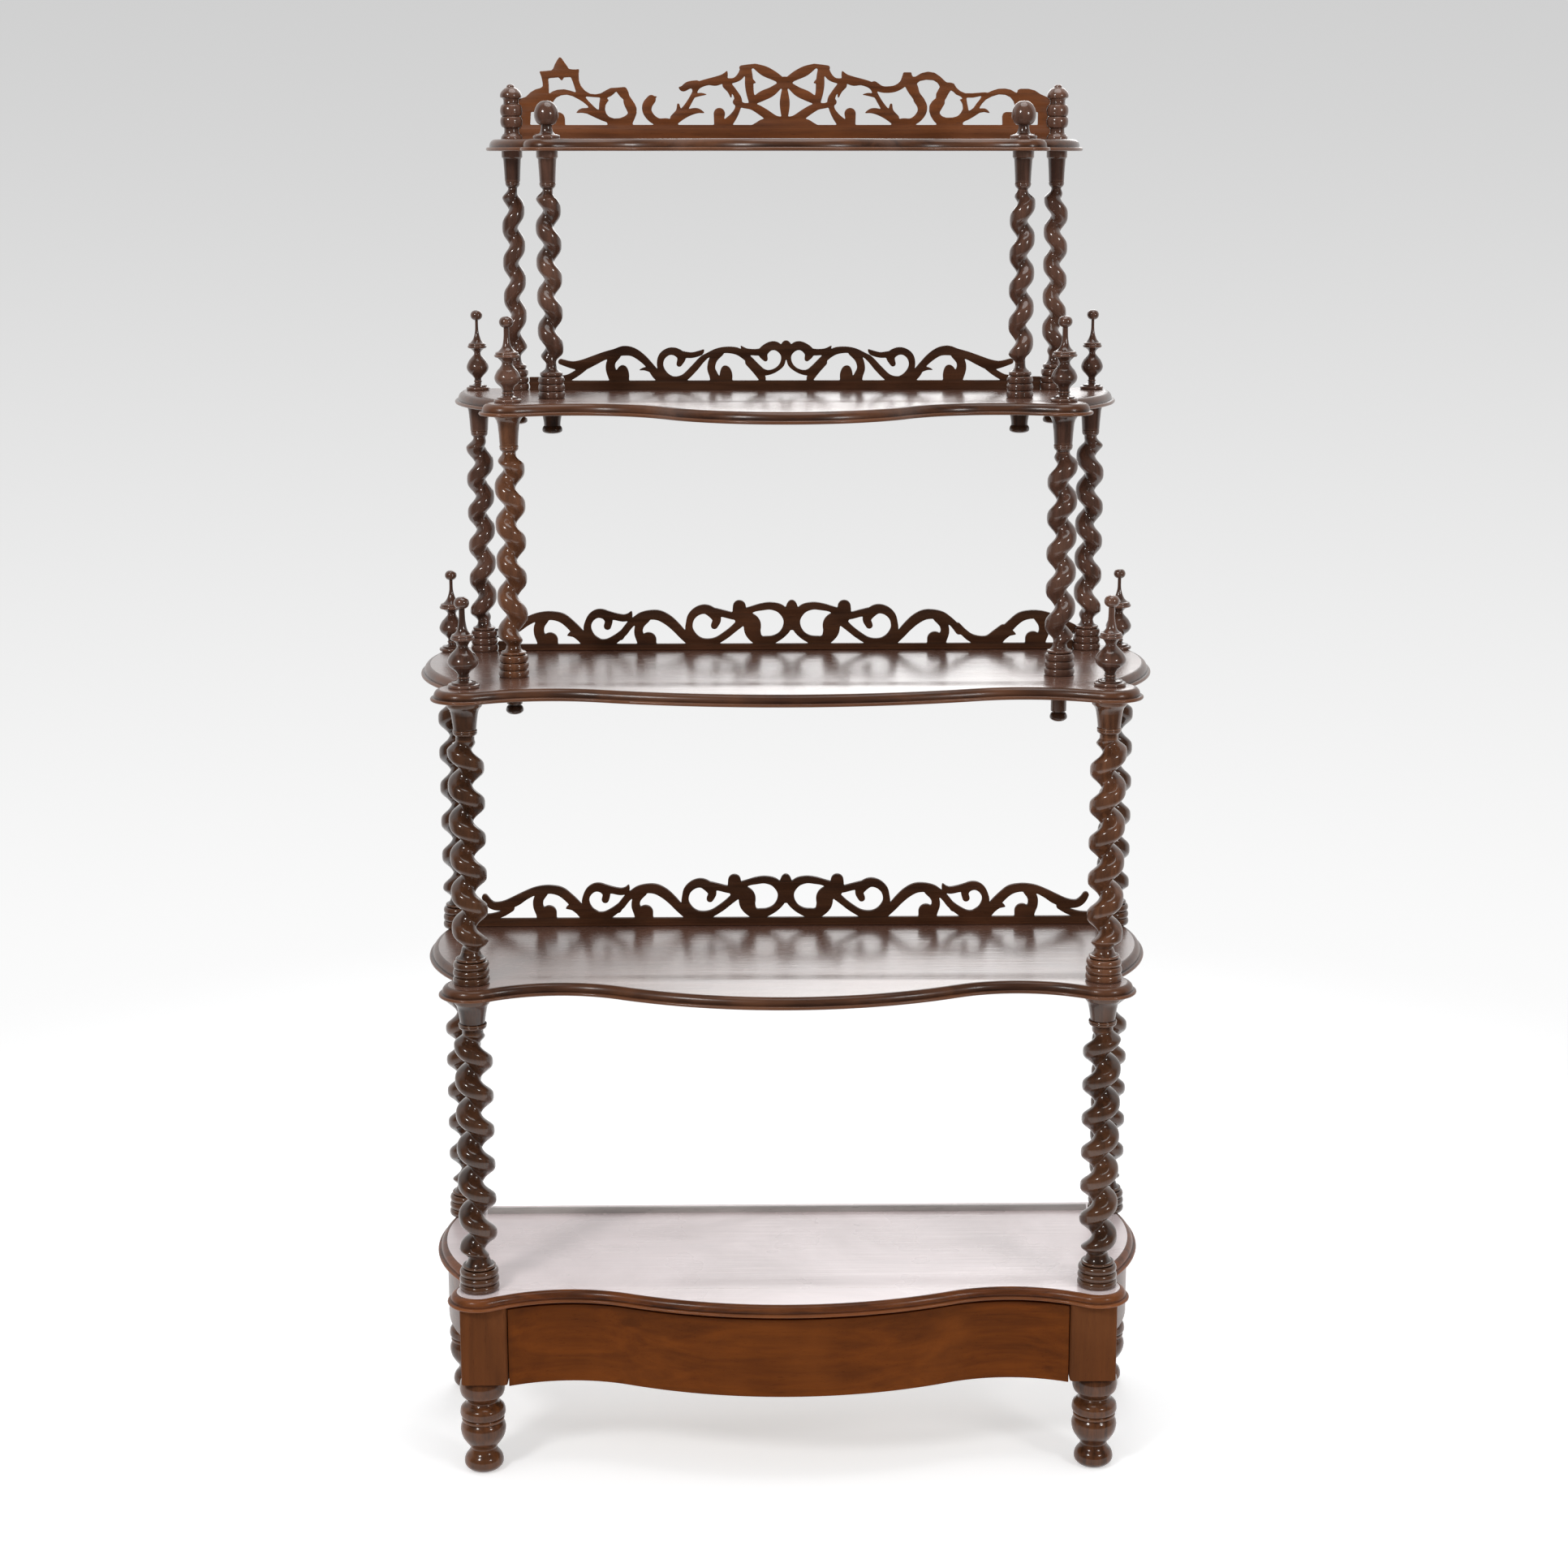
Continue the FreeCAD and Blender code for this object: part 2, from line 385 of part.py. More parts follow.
class Plan:
    """Outline of one shelf: rounded corners, hollows and bow that run into one another."""

    def __init__(self, name):
        data = PLANS[name]
        self.corner_x = SIZE[data["corner"][0]]
        self.corner_y = SIZE[data["corner"][1]] - data["forward"]
        self.corner_radius = data["corner_radius"]
        self.side_radius = data["side_radius"]
        self.side_x_centre = data["half_width"] - data["side_radius"]
        self.side_y_centre = data["widest"]
        self.recess_x, recess_y = data["recess"]
        self.bow_y = data["bow"]
        run = self.corner_x - self.recess_x
        rise = recess_y - self.corner_y
        self.hollow_radius = ((run ** 2 + rise ** 2 - self.corner_radius ** 2)
                              / (2 * (rise + self.corner_radius)))
        self.hollow_y = recess_y - self.hollow_radius
        depth = self.hollow_y - self.bow_y
        self.bow_radius = ((self.recess_x ** 2 + depth ** 2 - self.hollow_radius ** 2)
                           / (2 * (recess_y - self.bow_y)))

    def joints(self, inset=0.0):
        """Where the bow meets the hollow and where the hollow meets the corner."""
        share = self.bow_radius / (self.bow_radius + self.hollow_radius)
        bow_centre = self.bow_y + self.bow_radius
        change = Vector(self.recess_x * share,
                        bow_centre + (self.hollow_y - bow_centre) * share, 0)
        share = self.hollow_radius / (self.hollow_radius + self.corner_radius)
        meet = Vector(self.recess_x + (self.corner_x - self.recess_x) * share,
                      self.hollow_y + (self.corner_y - self.hollow_y) * share, 0)
        centre = Vector(self.recess_x, self.hollow_y, 0)
        stretch = (self.hollow_radius + inset) / self.hollow_radius
        return centre + (change - centre) * stretch, centre + (meet - centre) * stretch

    def front_y(self, x, inset=0.0):
        """Depth of the bow and the hollow at x, moved back by an inset."""
        x = abs(x)
        if x <= self.joints(inset)[0].x:
            radius = self.bow_radius - inset
            return self.bow_y + self.bow_radius - math.sqrt(radius ** 2 - x ** 2)
        radius = self.hollow_radius + inset
        return self.hollow_y + math.sqrt(radius ** 2 - (x - self.recess_x) ** 2)

    def side_x(self, y, inset=0.0):
        """Half width of the side at y, moved in by an inset."""
        radius = self.side_radius - inset
        return self.side_x_centre + math.sqrt(radius ** 2 - (y - self.side_y_centre) ** 2)

    def corner_point(self, degrees):
        """Point of the right rounded corner at an angle from +X."""
        turn = math.radians(degrees)
        return Vector(self.corner_x + self.corner_radius * math.cos(turn),
                      self.corner_y + self.corner_radius * math.sin(turn), 0)

    def notch(self):
        """Centre of the small round in the notch between the corner and the side."""
        corner = Vector(self.corner_x, self.corner_y, 0)
        side = Vector(self.side_x_centre, self.side_y_centre, 0)
        near, far = self.corner_radius + NOTCH_ROUND, self.side_radius + NOTCH_ROUND
        between = side - corner
        along = (near ** 2 - far ** 2 + between.Length ** 2) / (2 * between.Length)
        across = math.sqrt(near ** 2 - along ** 2)
        axis = between / between.Length
        return corner + axis * along + Vector(axis.y, -axis.x, 0) * across

    def right_edges(self):
        """Arcs of the right half, from the middle of the bow to the back corner."""
        change, meet = self.joints()
        corner = Vector(self.corner_x, self.corner_y, 0)
        side = Vector(self.side_x_centre, self.side_y_centre, 0)
        notch = self.notch()
        leave = corner + (notch - corner) * (self.corner_radius / (notch - corner).Length)
        enter = side + (notch - side) * (self.side_radius / (notch - side).Length)
        bottom = (leave + enter) / 2 - notch
        start = math.degrees(math.atan2(meet.y - corner.y, meet.x - corner.x))
        end = math.degrees(math.atan2(leave.y - corner.y, leave.x - corner.x))
        back = SIZE["back_edge"]
        hollow_x = (change.x + meet.x) / 2
        side_y = (enter.y + back) / 2
        return [
            (change, Vector(hollow_x, self.front_y(hollow_x), 0), meet),
            (meet, self.corner_point((start + end) / 2), leave),
            (leave, notch + bottom * (NOTCH_ROUND / bottom.Length), enter),
            (enter, Vector(self.side_x(side_y), side_y, 0), Vector(self.side_x(back), back, 0)),
        ]

    def edges(self):
        """The closed outline, counter-clockwise, with one straight edge at the back."""
        right = self.right_edges()
        left = [tuple(Vector(-point.x, point.y, 0) for point in reversed(arc))
                for arc in reversed(right)]
        bow = (left[-1][-1], Vector(0, self.bow_y, 0), right[0][0])
        return left + [bow] + right + [(right[-1][-1], left[0][0])]


def column_places(name):
    """Places of the four columns of a tier."""
    tier = TIERS[name]
    front_x, front_y = SIZE[tier["front"][0]], SIZE[tier["front"][1]]
    back_x, back_y = SIZE[tier["back"]], SIZE["back_row"]
    return {
        "front_left": (-front_x, front_y),
        "front_right": (front_x, front_y),
        "back_left": (-back_x, back_y),
        "back_right": (back_x, back_y),
    }


def moulded_edges(shape):
    """Names of the top edges that carry the moulding: all but the flat back."""
    names = []
    for number, edge in enumerate(shape.Edges, start=1):
        box = edge.BoundBox
        on_top = abs(box.ZMin - SIZE["board"]) < TOUCH
        at_back = abs(box.YMin - SIZE["back_edge"]) < TOUCH
        if on_top and not at_back:
            names.append(f"Edge{number}")
    return names


def make_shelf(doc, label, plan_name, sockets, keep=None):
    """One shelf: padded outline, moulded edge, sockets, and for the base a straight joint."""
    plan = Plan(plan_name)
    body = new_body(doc, label)
    outline = new_sketch(body, f"{label}_outline")
    draw_loop(outline, plan.edges())
    pad = body.newObject("PartDesign::Pad", f"{label}_board")
    pad.Profile = outline
    bind(pad, Length="board")
    doc.recompute()
    moulding = body.newObject("PartDesign::Chamfer", f"{label}_moulding")
    moulding.Base = (pad, moulded_edges(pad.Shape))
    bind(moulding, Size="edge_splay")
    doc.recompute()
    if keep:
        trim = new_sketch(body, f"{label}_joint")
        reach = SIZE["back_edge"] * 3
        joint = SIZE["front_joint"]
        far = reach if keep == "front" else -reach
        low, high = min(joint, far), max(joint, far)
        corners = [Vector(-reach, low, 0), Vector(reach, low, 0), Vector(reach, high, 0),
                   Vector(-reach, high, 0)]
        draw_loop(trim, loop(corners))
        cut = body.newObject("PartDesign::Pocket", f"{label}_cut")
        cut.Profile = trim
        cut.Reversed = True
        bind(cut, Length="board")
        doc.recompute()
    if sockets:
        cut_sockets(body, label, sockets)
    bind(body, Placement__Base__z=f"{plan_name}_z - board")
    return body


# ---------------------------------------------------------------- turned and twisted pieces

def faceted(stations, sides):
    """Solid with flat facets through level polygons given as (x, y, z, radius)."""
    rings = []
    for x, y, z, radius in stations:
        ring = []
        for step in range(sides):
            angle = 2 * math.pi * step / sides
            ring.append(Vector(x + radius * math.cos(angle), y + radius * math.sin(angle), z))
        rings.append(ring)
    outlines = [rings[0][::-1], rings[-1]]
    for lower, upper in zip(rings, rings[1:]):
        for step in range(sides):
            after = (step + 1) % sides
            outlines.append([lower[step], lower[after], upper[after], upper[step]])
    faces = [Part.Face(Part.makePolygon(outline + outline[:1])) for outline in outlines]
    shell = Part.makeShell(faces)
    shell.sewShape()
    return Part.makeSolid(shell)


def turned(profile, sides=TURNED_SIDES):
    """Faceted solid of revolution through stations of (height, radius)."""
    return faceted([(0, 0, z, radius) for z, radius in profile], sides)


def spigot(seat, direction):
    """Square spigot that leaves a seat downward (-1) or upward (+1)."""
    radius, end = SIZE["tenon_radius"], seat + direction * SIZE["tenon_length"]
    return turned([(min(seat, end), radius), (max(seat, end), radius)], STRAND_SIDES)


def strand(tier, bottom, top, phase, hand):
    """The twisted strand of a column: a level square that circles about the axis.

    The sections lie where the strand leans exactly right, back, left or to the front, so
    that the wave has its full depth from every side.
    """
    quarter = tier["pitch"] / 4
    ease = tier["pitch"] * EASE_SHARE
    first = math.ceil((bottom - phase) / quarter + LEAST_SHARE)
    last = math.floor((top - phase) / quarter - LEAST_SHARE)
    levels = [bottom] + [phase + step * quarter for step in range(first, last + 1)] + [top]
    stations = []
    for z in levels:
        grow = min(1.0, (z - bottom) / ease, (top - z) / ease)
        angle = hand * 2 * math.pi * (z - phase) / tier["pitch"]
        radius = tier["neck"] + (tier["strand"] - tier["neck"]) * grow
        throw = tier["throw"] * grow
        stations.append((throw * math.cos(angle), throw * math.sin(angle), z, radius))
    return faceted(stations, STRAND_SIDES)


def member(tier, profile, bottom, height):
    """Base or capital of a column from its profile in shares."""
    return turned([(bottom + rise * height, tier[radius] * share)
                   for rise, radius, share in profile])


def column_shape(name, corner):
    """Base rings, twisted strand, capital and the two spigots of one column."""
    tier = TIERS[name]
    height = SIZE[f"{name}_z"] - SIZE["board"] - SIZE[f"{tier['below']}_z"]
    base = member(tier, BASE_PROFILE, 0, tier["base_height"])
    drop = tier["capital_height"]
    rim = (1 - tier["flange_height"] / drop, "flange", 1.0)
    capital = member(tier, CAPITAL_PROFILE + [rim, (1.0, "flange", 1.0)], height - drop, drop)
    hand = 1 if corner in ("front_right", "back_left") else -1
    twist = strand(tier, tier["base_height"], height - tier["capital_height"],
                   STRAND_PHASE[name][corner], hand)
    return base.fuse([twist, capital, spigot(0, -1), spigot(height, 1)])


def with_spigot(profile, direction, sides=TURNED_SIDES):
    """A turned profile with a spigot below (-1) or above (+1) its seat."""
    seat = profile[0][0] if direction * (profile[-1][0] - profile[0][0]) < 0 else profile[-1][0]
    return turned(profile, sides).fuse(spigot(seat, direction))


def add_feature(doc, label, shape, place=Vector(0, 0, 0)):
    """A feature with a given shape, placed after its shape is set."""
    feature = doc.addObject("Part::Feature", label)
    feature.Label = label
    feature.Shape = shape
    feature.Placement = Placement(place, Rotation())
    return feature


def make_columns(doc):
    """Sixteen barley-twist columns, four to a tier."""
    made = []
    for name, tier in TIERS.items():
        for corner, (x, y) in column_places(name).items():
            place = Vector(x, y, SIZE[f"{tier['below']}_z"])
            made.append(add_feature(doc, f"{name}_column_{corner}", column_shape(name, corner),
                                    place))
    return made


def make_finials(doc):
    """Finials on the crown, upper and middle shelves, over the columns below."""
    made = []
    for shelf, rows in FINIALS.items():
        for corner, (x, y) in column_places(shelf).items():
            profile = rows[corner.split("_")[0]]
            place = Vector(x, y, SIZE[f"{shelf}_z"])
            made.append(add_feature(doc, f"{shelf}_finial_{corner}", with_spigot(profile, -1),
                                    place))
    return made


def make_pendants(doc):
    """Turned buttons under the shelves that carry an inset tier, four in a group."""
    made = []
    for tier, sides in PENDANTS.items():
        shelf = TIERS[tier]["below"]
        seat = SIZE[f"{shelf}_z"] - SIZE["board"]
        solids = []
        for corner, (x, y) in column_places(tier).items():
            solid = with_spigot(sides[corner.split("_")[1]], 1)
            solid.translate(Vector(x, y, seat))
            solids.append(solid)
        made.append(add_feature(doc, f"{shelf}_pendants", Part.makeCompound(solids)))
    return made


# ---------------------------------------------------------------- galleries

def band_polygon(band, sign):
    """Flat face of one band: its two edges lie half a width off the centre line."""
    upper, lower = [], []
    for number, (x, z, width) in enumerate(band):
        before = band[max(number - 1, 0)]
        after = band[min(number + 1, len(band) - 1)]
        run, rise = after[0] - before[0], after[1] - before[1]
        length = math.hypot(run, rise)
        across = (-rise / length * width / 2, run / length * width / 2)
        upper.append((x + across[0], z + across[1]))
        lower.append((x - across[0], z - across[1]))
    return [(sign * x, z) for x, z in upper + lower[::-1]]


def flat_face(points):
    """Upright face from an outline in the XZ plane."""
    corners = [Vector(x, -SIZE["gallery_thickness"] / 2, z) for x, z in points]
    return Part.Face(Part.makePolygon(corners + corners[:1]))


def band_faces(band, sign):
    """Faces of one band, made quad by quad so that tight curls cannot fold over."""
    outline = band_polygon(band, sign)
    last = 2 * len(band) - 1
    return [flat_face([outline[step], outline[step + 1], outline[last - step - 1],
                       outline[last - step]])
            for step in range(len(band) - 1)]


def plain_outline(wire):
    """The same outline without the corners that lie almost on the line of their neighbours."""
    corners = [vertex.Point for vertex in wire.OrderedVertexes]
    while len(corners) > 4:
        offsets = []
        for number, corner in enumerate(corners):
            before, after = corners[number - 1], corners[(number + 1) % len(corners)]
            offsets.append(corner.distanceToLine(before, after - before)
                           if (after - before).Length > TOUCH else 0.0)
        least = min(offsets)
        if least > FRET_TOLERANCE:
            break
        corners.pop(offsets.index(least))
    return Part.makePolygon(corners + corners[:1])


def gallery_shape(left, right, rail, bands, extras, end_height):
    """Rail, bands on both halves and upright ends, joined and cut level with the shelf."""
    faces = []
    for sign in (-1, 1):
        for band in bands + extras[sign]:
            faces += band_faces(band, sign)
        reach = left if sign < 0 else right
        inside = reach - sign * GALLERY_END
        faces.append(flat_face([(inside, 0), (inside, end_height), (reach, end_height),
                                (reach, 0)]))
    room = flat_face([(left, 0), (right, 0), (right, GALLERY_ROOM), (left, GALLERY_ROOM)])
    joined = flat_face([(left, 0), (right, 0), (right, rail), (left, rail)]).fuse(faces)
    joined = joined.common(room).removeSplitter()
    outlines = [plain_outline(wire) for face in joined.Faces for wire in face.Wires]
    board = Part.makeFace(outlines, "Part::FaceMakerBullseye")
    return board.extrude(Vector(0, SIZE["gallery_thickness"], 0))


def lowered(bands, drop):
    """The same bands set lower on the rail."""
    return [[(x, z - drop, width) for x, z, width in band] for band in bands]


def make_galleries(doc):
    """The four fretwork boards that stand between the back columns and finials."""
    large = LARGE_SCROLL + LARGE_TAIL
    bands = {
        "crown": (CROWN_BANDS, {-1: CROWN_LEFT, 1: CROWN_RIGHT}),
        "upper": (UPPER_BANDS, {-1: [], 1: []}),
        "middle": (lowered(LARGE_BANDS, MIDDLE_DROP),
                   {-1: lowered(LARGE_SCROLL, MIDDLE_DROP), 1: LARGE_DIP}),
        "lower": (LARGE_BANDS, {-1: large, 1: large}),
    }
    made = []
    for shelf, layout in GALLERIES.items():
        half_length = SIZE[layout["post"]] - layout["post_radius"] - SIZE["gallery_gap"]
        centre = layout["centre"]
        shape = gallery_shape(-half_length - centre, half_length - centre, layout["rail"],
                              *bands[shelf], layout["end"])
        made.append(add_feature(doc, f"{shelf}_gallery", shape,
                                Vector(centre, SIZE["back_row"], SIZE[f"{shelf}_z"])))
    return made


# ---------------------------------------------------------------- base and drawer

def make_box(doc, label, **formulas):
    """A box whose size and place are bound to the sheet."""
    box = doc.addObject("Part::Box", label)
    box.Label = label
    bind(box, **formulas)
    return box


def make_blocks(doc):
    """Four corner blocks with broken upright corners and a socket for each foot."""
    made = []
    for sign in (-1, 1):
        for row in ("front", "rear"):
            label = f"corner_block_{row}_{side_name(sign)}"
            inner, width = SIZE[f"{row}_block_inner"], SIZE[f"{row}_block_width"]
            near, depth = SIZE[f"{row}_block_front"], SIZE[f"{row}_block_depth"]
            body = new_body(doc, label)
            corners = [Vector(sign * x, y, 0) for x, y in
                       ((inner, near), (inner + width, near), (inner + width, near + depth),
                        (inner, near + depth))]
            sketch = new_sketch(body, f"{label}_plan")
            draw_loop(sketch, loop(corners))
            pad = body.newObject("PartDesign::Pad", f"{label}_pad")
            pad.Profile = sketch
            bind(pad, Length="base_z - board - block_bottom")
            doc.recompute()
            broken = body.newObject("PartDesign::Chamfer", f"{label}_corners")
            broken.Base = (pad, [f"Edge{number}" for number, edge in
                                 enumerate(pad.Shape.Edges, start=1)
                                 if edge.BoundBox.ZLength > SIZE["block_corner"]])
            bind(broken, Size="block_corner")
            doc.recompute()
            socket = new_sketch(body, f"{label}_socket")
            foot = foot_place(row, sign)
            draw_loop(socket, loop(socket_corners(foot.x, foot.y)))
            pocket = body.newObject("PartDesign::Pocket", f"{label}_mortise")
            pocket.Profile = socket
            pocket.Reversed = True
            bind(pocket, Length="tenon_length + run_gap")
            bind(body, Placement__Base__z="block_bottom")
            made.append(body)
    return made


def foot_place(row, sign):
    """Where the axis of a foot meets the floor."""
    if row == "front":
        return Vector(sign * SIZE["lower_front_x"], SIZE["lower_front_y"], 0)
    return Vector(sign * SIZE["rear_foot_x"], SIZE["rear_foot_y"], 0)


def make_feet(doc):
    """Four turned feet, each with a spigot in its corner block."""
    return [add_feature(doc, f"foot_{row}_{side_name(sign)}", with_spigot(FOOT, 1, FOOT_SIDES),
                        foot_place(row, sign))
            for row in ("front", "rear") for sign in (-1, 1)]


def serpentine(plan, half, inset):
    """Three arcs of the serpentine front from -half to +half, left to right."""
    change = plan.joints(inset)[0].x
    middle = (half + change) / 2

    def at(x):
        return Vector(x, plan.front_y(x, inset), 0)

    return [(at(-half), at(-middle), at(-change)), (at(-change), at(0), at(change)),
            (at(change), at(middle), at(half))]


def reverse_edges(edges):
    """The same edges walked the other way."""
    return [tuple(points[::-1]) for points in edges[::-1]]


def padded_body(doc, label, edges, height_formula, bottom_formula):
    """A body padded upward from a closed loop in plan."""
    body = new_body(doc, label)
    sketch = new_sketch(body, f"{label}_plan")
    draw_loop(sketch, edges)
    pad = body.newObject("PartDesign::Pad", f"{label}_pad")
    pad.Profile = sketch
    bind(pad, Length=height_formula)
    bind(body, Placement__Base__z=bottom_formula)
    return body


def make_drawer_front(doc, plan):
    """Serpentine drawer front of even thickness."""
    half = SIZE["front_half_width"]
    outer = serpentine(plan, half, SIZE["rail_inset"])
    inner = serpentine(plan, half, SIZE["rail_inset"] + SIZE["front_thickness"])
    edges = outer + [(outer[-1][-1], inner[-1][-1])] + reverse_edges(inner)
    edges.append((inner[0][0], outer[0][0]))
    return padded_body(doc, "drawer_front", edges, "front_top - front_bottom", "front_bottom")


def make_bearer(doc):
    """Bearer between the front blocks, behind the drawer front and under the drawer."""
    return make_box(doc, "drawer_bearer", Length="2 * front_block_inner",
                    Width="bearer_back - bearer_front",
                    Height="drawer_low - run_gap - runner_bottom",
                    Placement__Base__x="-1 * front_block_inner", Placement__Base__y="bearer_front",
                    Placement__Base__z="runner_bottom")


def make_side_rails(doc, plan):
    """Curved side rails between the front and rear blocks."""
    made = []
    low_y = SIZE["front_block_front"] + SIZE["front_block_depth"]
    high_y = SIZE["rear_block_front"]
    middle_y = (low_y + high_y) / 2
    outer, inner = SIZE["rail_inset"], SIZE["rail_inset"] + SIZE["rail_thickness"]
    for sign in (-1, 1):
        def at(y, inset):
            return Vector(sign * plan.side_x(y, inset), y, 0)
        edges = [
            (at(low_y, outer), at(middle_y, outer), at(high_y, outer)),
            (at(high_y, outer), at(high_y, inner)),
            (at(high_y, inner), at(middle_y, inner), at(low_y, inner)),
            (at(low_y, inner), at(low_y, outer)),
        ]
        made.append(padded_body(doc, f"side_rail_{side_name(sign)}", edges,
                                "base_z - board - rail_bottom", "rail_bottom"))
    return made


def make_back_rail(doc):
    """Straight rail between the rear blocks."""
    return make_box(doc, "back_rail", Length="2 * rear_block_inner", Width="rail_thickness",
                    Height="base_z - board - back_rail_bottom",
                    Placement__Base__x="-1 * rear_block_inner",
                    Placement__Base__y="back_rail_front",
                    Placement__Base__z="back_rail_bottom")


def make_runners(doc):
    """Two L-shaped runners with guides, drawn on the XZ plane and padded front to back."""
    runners = []
    inner, outer = SIZE["runner_inner"], SIZE["runner_outer"]
    low, high = SIZE["runner_bottom"], SIZE["drawer_low"] - SIZE["run_gap"]
    guide, top = SIZE["guide_inner"], SIZE["guide_top"]
    length = SIZE["back_rail_front"] - SIZE["bearer_back"]
    for sign in (-1, 1):
        corners = [(inner, low), (outer, low), (outer, top), (guide, top), (guide, high),
                   (inner, high)]
        points = [Vector(sign * x, SIZE["bearer_back"], z) for x, z in corners]
        face = Part.Face(Part.makePolygon(points + points[:1]))
        runners.append(face.extrude(Vector(0, length, 0)))
    return add_feature(doc, "drawer_runners", Part.makeCompound(runners))


def make_kickers(doc):
    """Rail and two strips under the base top that keep the open drawer level."""
    top = SIZE["base_z"] - SIZE["board"]
    low, high = SIZE["runner_inner"], SIZE["guide_inner"]
    near, far = SIZE["bearer_back"], SIZE["back_rail_front"]
    strips = [(-SIZE["front_block_inner"], SIZE["front_block_inner"], SIZE["bearer_front"], near),
              (-high, -low, near, far), (low, high, near, far)]
    solids = [Part.makeBox(right - left, back - front, SIZE["kicker_height"],
                           Vector(left, front, top - SIZE["kicker_height"]))
              for left, right, front, back in strips]
    return add_feature(doc, "drawer_kickers", Part.makeCompound(solids))


def make_drawer_box(doc, plan):
    """Sides with grooves, back and bottom panel of the drawer."""
    made = []
    inset = SIZE["rail_inset"] + SIZE["front_thickness"]
    outer, thick = SIZE["drawer_outer"], SIZE["drawer_side"]
    seat, depth = SIZE["seat_gap"], SIZE["groove"]
    for sign in (-1, 1):
        label = f"drawer_side_{side_name(sign)}"
        near = plan.front_y(outer, inset) + seat
        far = plan.front_y(outer - thick, inset) + seat
        rear = SIZE["drawer_rear"]
        corners = [Vector(sign * outer, near, 0), Vector(sign * (outer - thick), far, 0),
                   Vector(sign * (outer - thick), rear, 0), Vector(sign * outer, rear, 0)]
        body = padded_body(doc, label, loop(corners), "drawer_high - drawer_low", "drawer_low")
        doc.recompute()
        slot = new_sketch(body, f"{label}_slot", "XZ_Plane")
        inside = outer - thick
        low, high = SIZE["bottom_raise"], SIZE["bottom_raise"] + SIZE["bottom_panel"]
        rim = [Vector(sign * x, z, 0) for x, z in
               ((inside - depth, low), (inside + depth, low), (inside + depth, high),
                (inside - depth, high))]
        draw_loop(slot, loop(rim))
        groove = body.newObject("PartDesign::Pocket", f"{label}_groove")
        groove.Profile = slot
        groove.Type = 1
        groove.Midplane = True
        made.append(body)
    made.append(make_box(doc, "drawer_back", Length="2 * ( drawer_outer - drawer_side )",
                         Width="drawer_back_thickness",
                         Height="drawer_high - drawer_low - bottom_raise - bottom_panel",
                         Placement__Base__x="drawer_side - drawer_outer",
                         Placement__Base__y="drawer_rear - drawer_back_thickness",
                         Placement__Base__z="drawer_low + bottom_raise + bottom_panel"))
    half = outer - thick + depth - SIZE["panel_play"]
    front = serpentine(plan, half, inset + seat)
    rear = SIZE["drawer_rear"] - SIZE["panel_set"]
    right, left = Vector(half, rear, 0), Vector(-half, rear, 0)
    edges = front + [(front[-1][-1], right), (right, left), (left, front[0][0])]
    made.append(padded_body(doc, "drawer_bottom", edges, "bottom_panel - seat_gap",
                            "drawer_low + bottom_raise"))
    return made


def make_strip(doc):
    """Low strip that stands at the back of the base between the columns."""
    return make_box(doc, "base_back_strip", Length="2 * strip_half_length",
                    Width="strip_thickness", Height="strip_height",
                    Placement__Base__x="-1 * strip_half_length",
                    Placement__Base__y="back_row - strip_thickness / 2",
                    Placement__Base__z="base_z")


# ---------------------------------------------------------------- assembly

def make_shelves(doc):
    """The five shelves; the base top is in two pieces with a straight joint."""
    at = {name: list(column_places(name).values()) for name in TIERS}
    made = [
        make_shelf(doc, "crown_shelf", "crown", at["crown"]),
        make_shelf(doc, "upper_shelf", "upper", at["crown"] + at["upper"]),
        make_shelf(doc, "middle_shelf", "middle", at["upper"] + at["middle"]),
        make_shelf(doc, "lower_shelf", "lower", at["middle"]),
        make_shelf(doc, "base_top", "base", at["lower"], keep="back"),
        make_shelf(doc, "base_front_moulding", "base", [], keep="front"),
    ]
    return made


def check(doc, parts):
    """Stop when an object failed or a piece is null or not valid."""
    for item in doc.Objects:
        if "Invalid" in item.State or "Error" in item.State:
            raise RuntimeError(f"{item.Name} failed: {item.State}")
    for piece in parts:
        if piece.Shape.isNull() or not piece.Shape.isValid():
            raise RuntimeError(f"{piece.Label} has no valid shape")
        if piece.Shape.Volume <= 0:
            raise RuntimeError(f"{piece.Label} has no volume")


def main():
    """Build every piece, check it and write one STEP file for each."""
    doc = FreeCAD.newDocument("etagere")
    fill_sheet(doc)
    base_plan = Plan("base")
    parts = make_shelves(doc)
    parts += make_columns(doc)
    parts += make_finials(doc)
    parts += make_pendants(doc)
    parts += make_galleries(doc)
    parts += make_blocks(doc)
    parts += make_feet(doc)
    parts.append(make_drawer_front(doc, base_plan))
    parts.append(make_bearer(doc))
    parts += make_side_rails(doc, base_plan)
    parts.append(make_back_rail(doc))
    parts.append(make_runners(doc))
    parts.append(make_kickers(doc))
    parts += make_drawer_box(doc, base_plan)
    parts.append(make_strip(doc))
    doc.recompute()
    check(doc, parts)
    os.makedirs("parts", exist_ok=True)
    for piece in parts:
        piece.Shape.exportStep(f"parts/{piece.Label}.step")
    print(f"{len(parts)} pieces written")


main()
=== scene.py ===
"""Dresses the five-tier walnut etagere: moulded shelves, barley-twist columns and fretwork.

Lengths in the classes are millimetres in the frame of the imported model: X to the right, Y to
the back, Z up.  Meshes are scaled to metres when they are made.
"""

from __future__ import annotations

import logging
import math
from collections.abc import Callable, Iterator, Sequence
from contextlib import contextmanager
from dataclasses import dataclass, replace
from enum import Enum
from functools import cache
from typing import ClassVar

import bmesh
import bpy
import numpy as np
from mathutils import Matrix, Vector

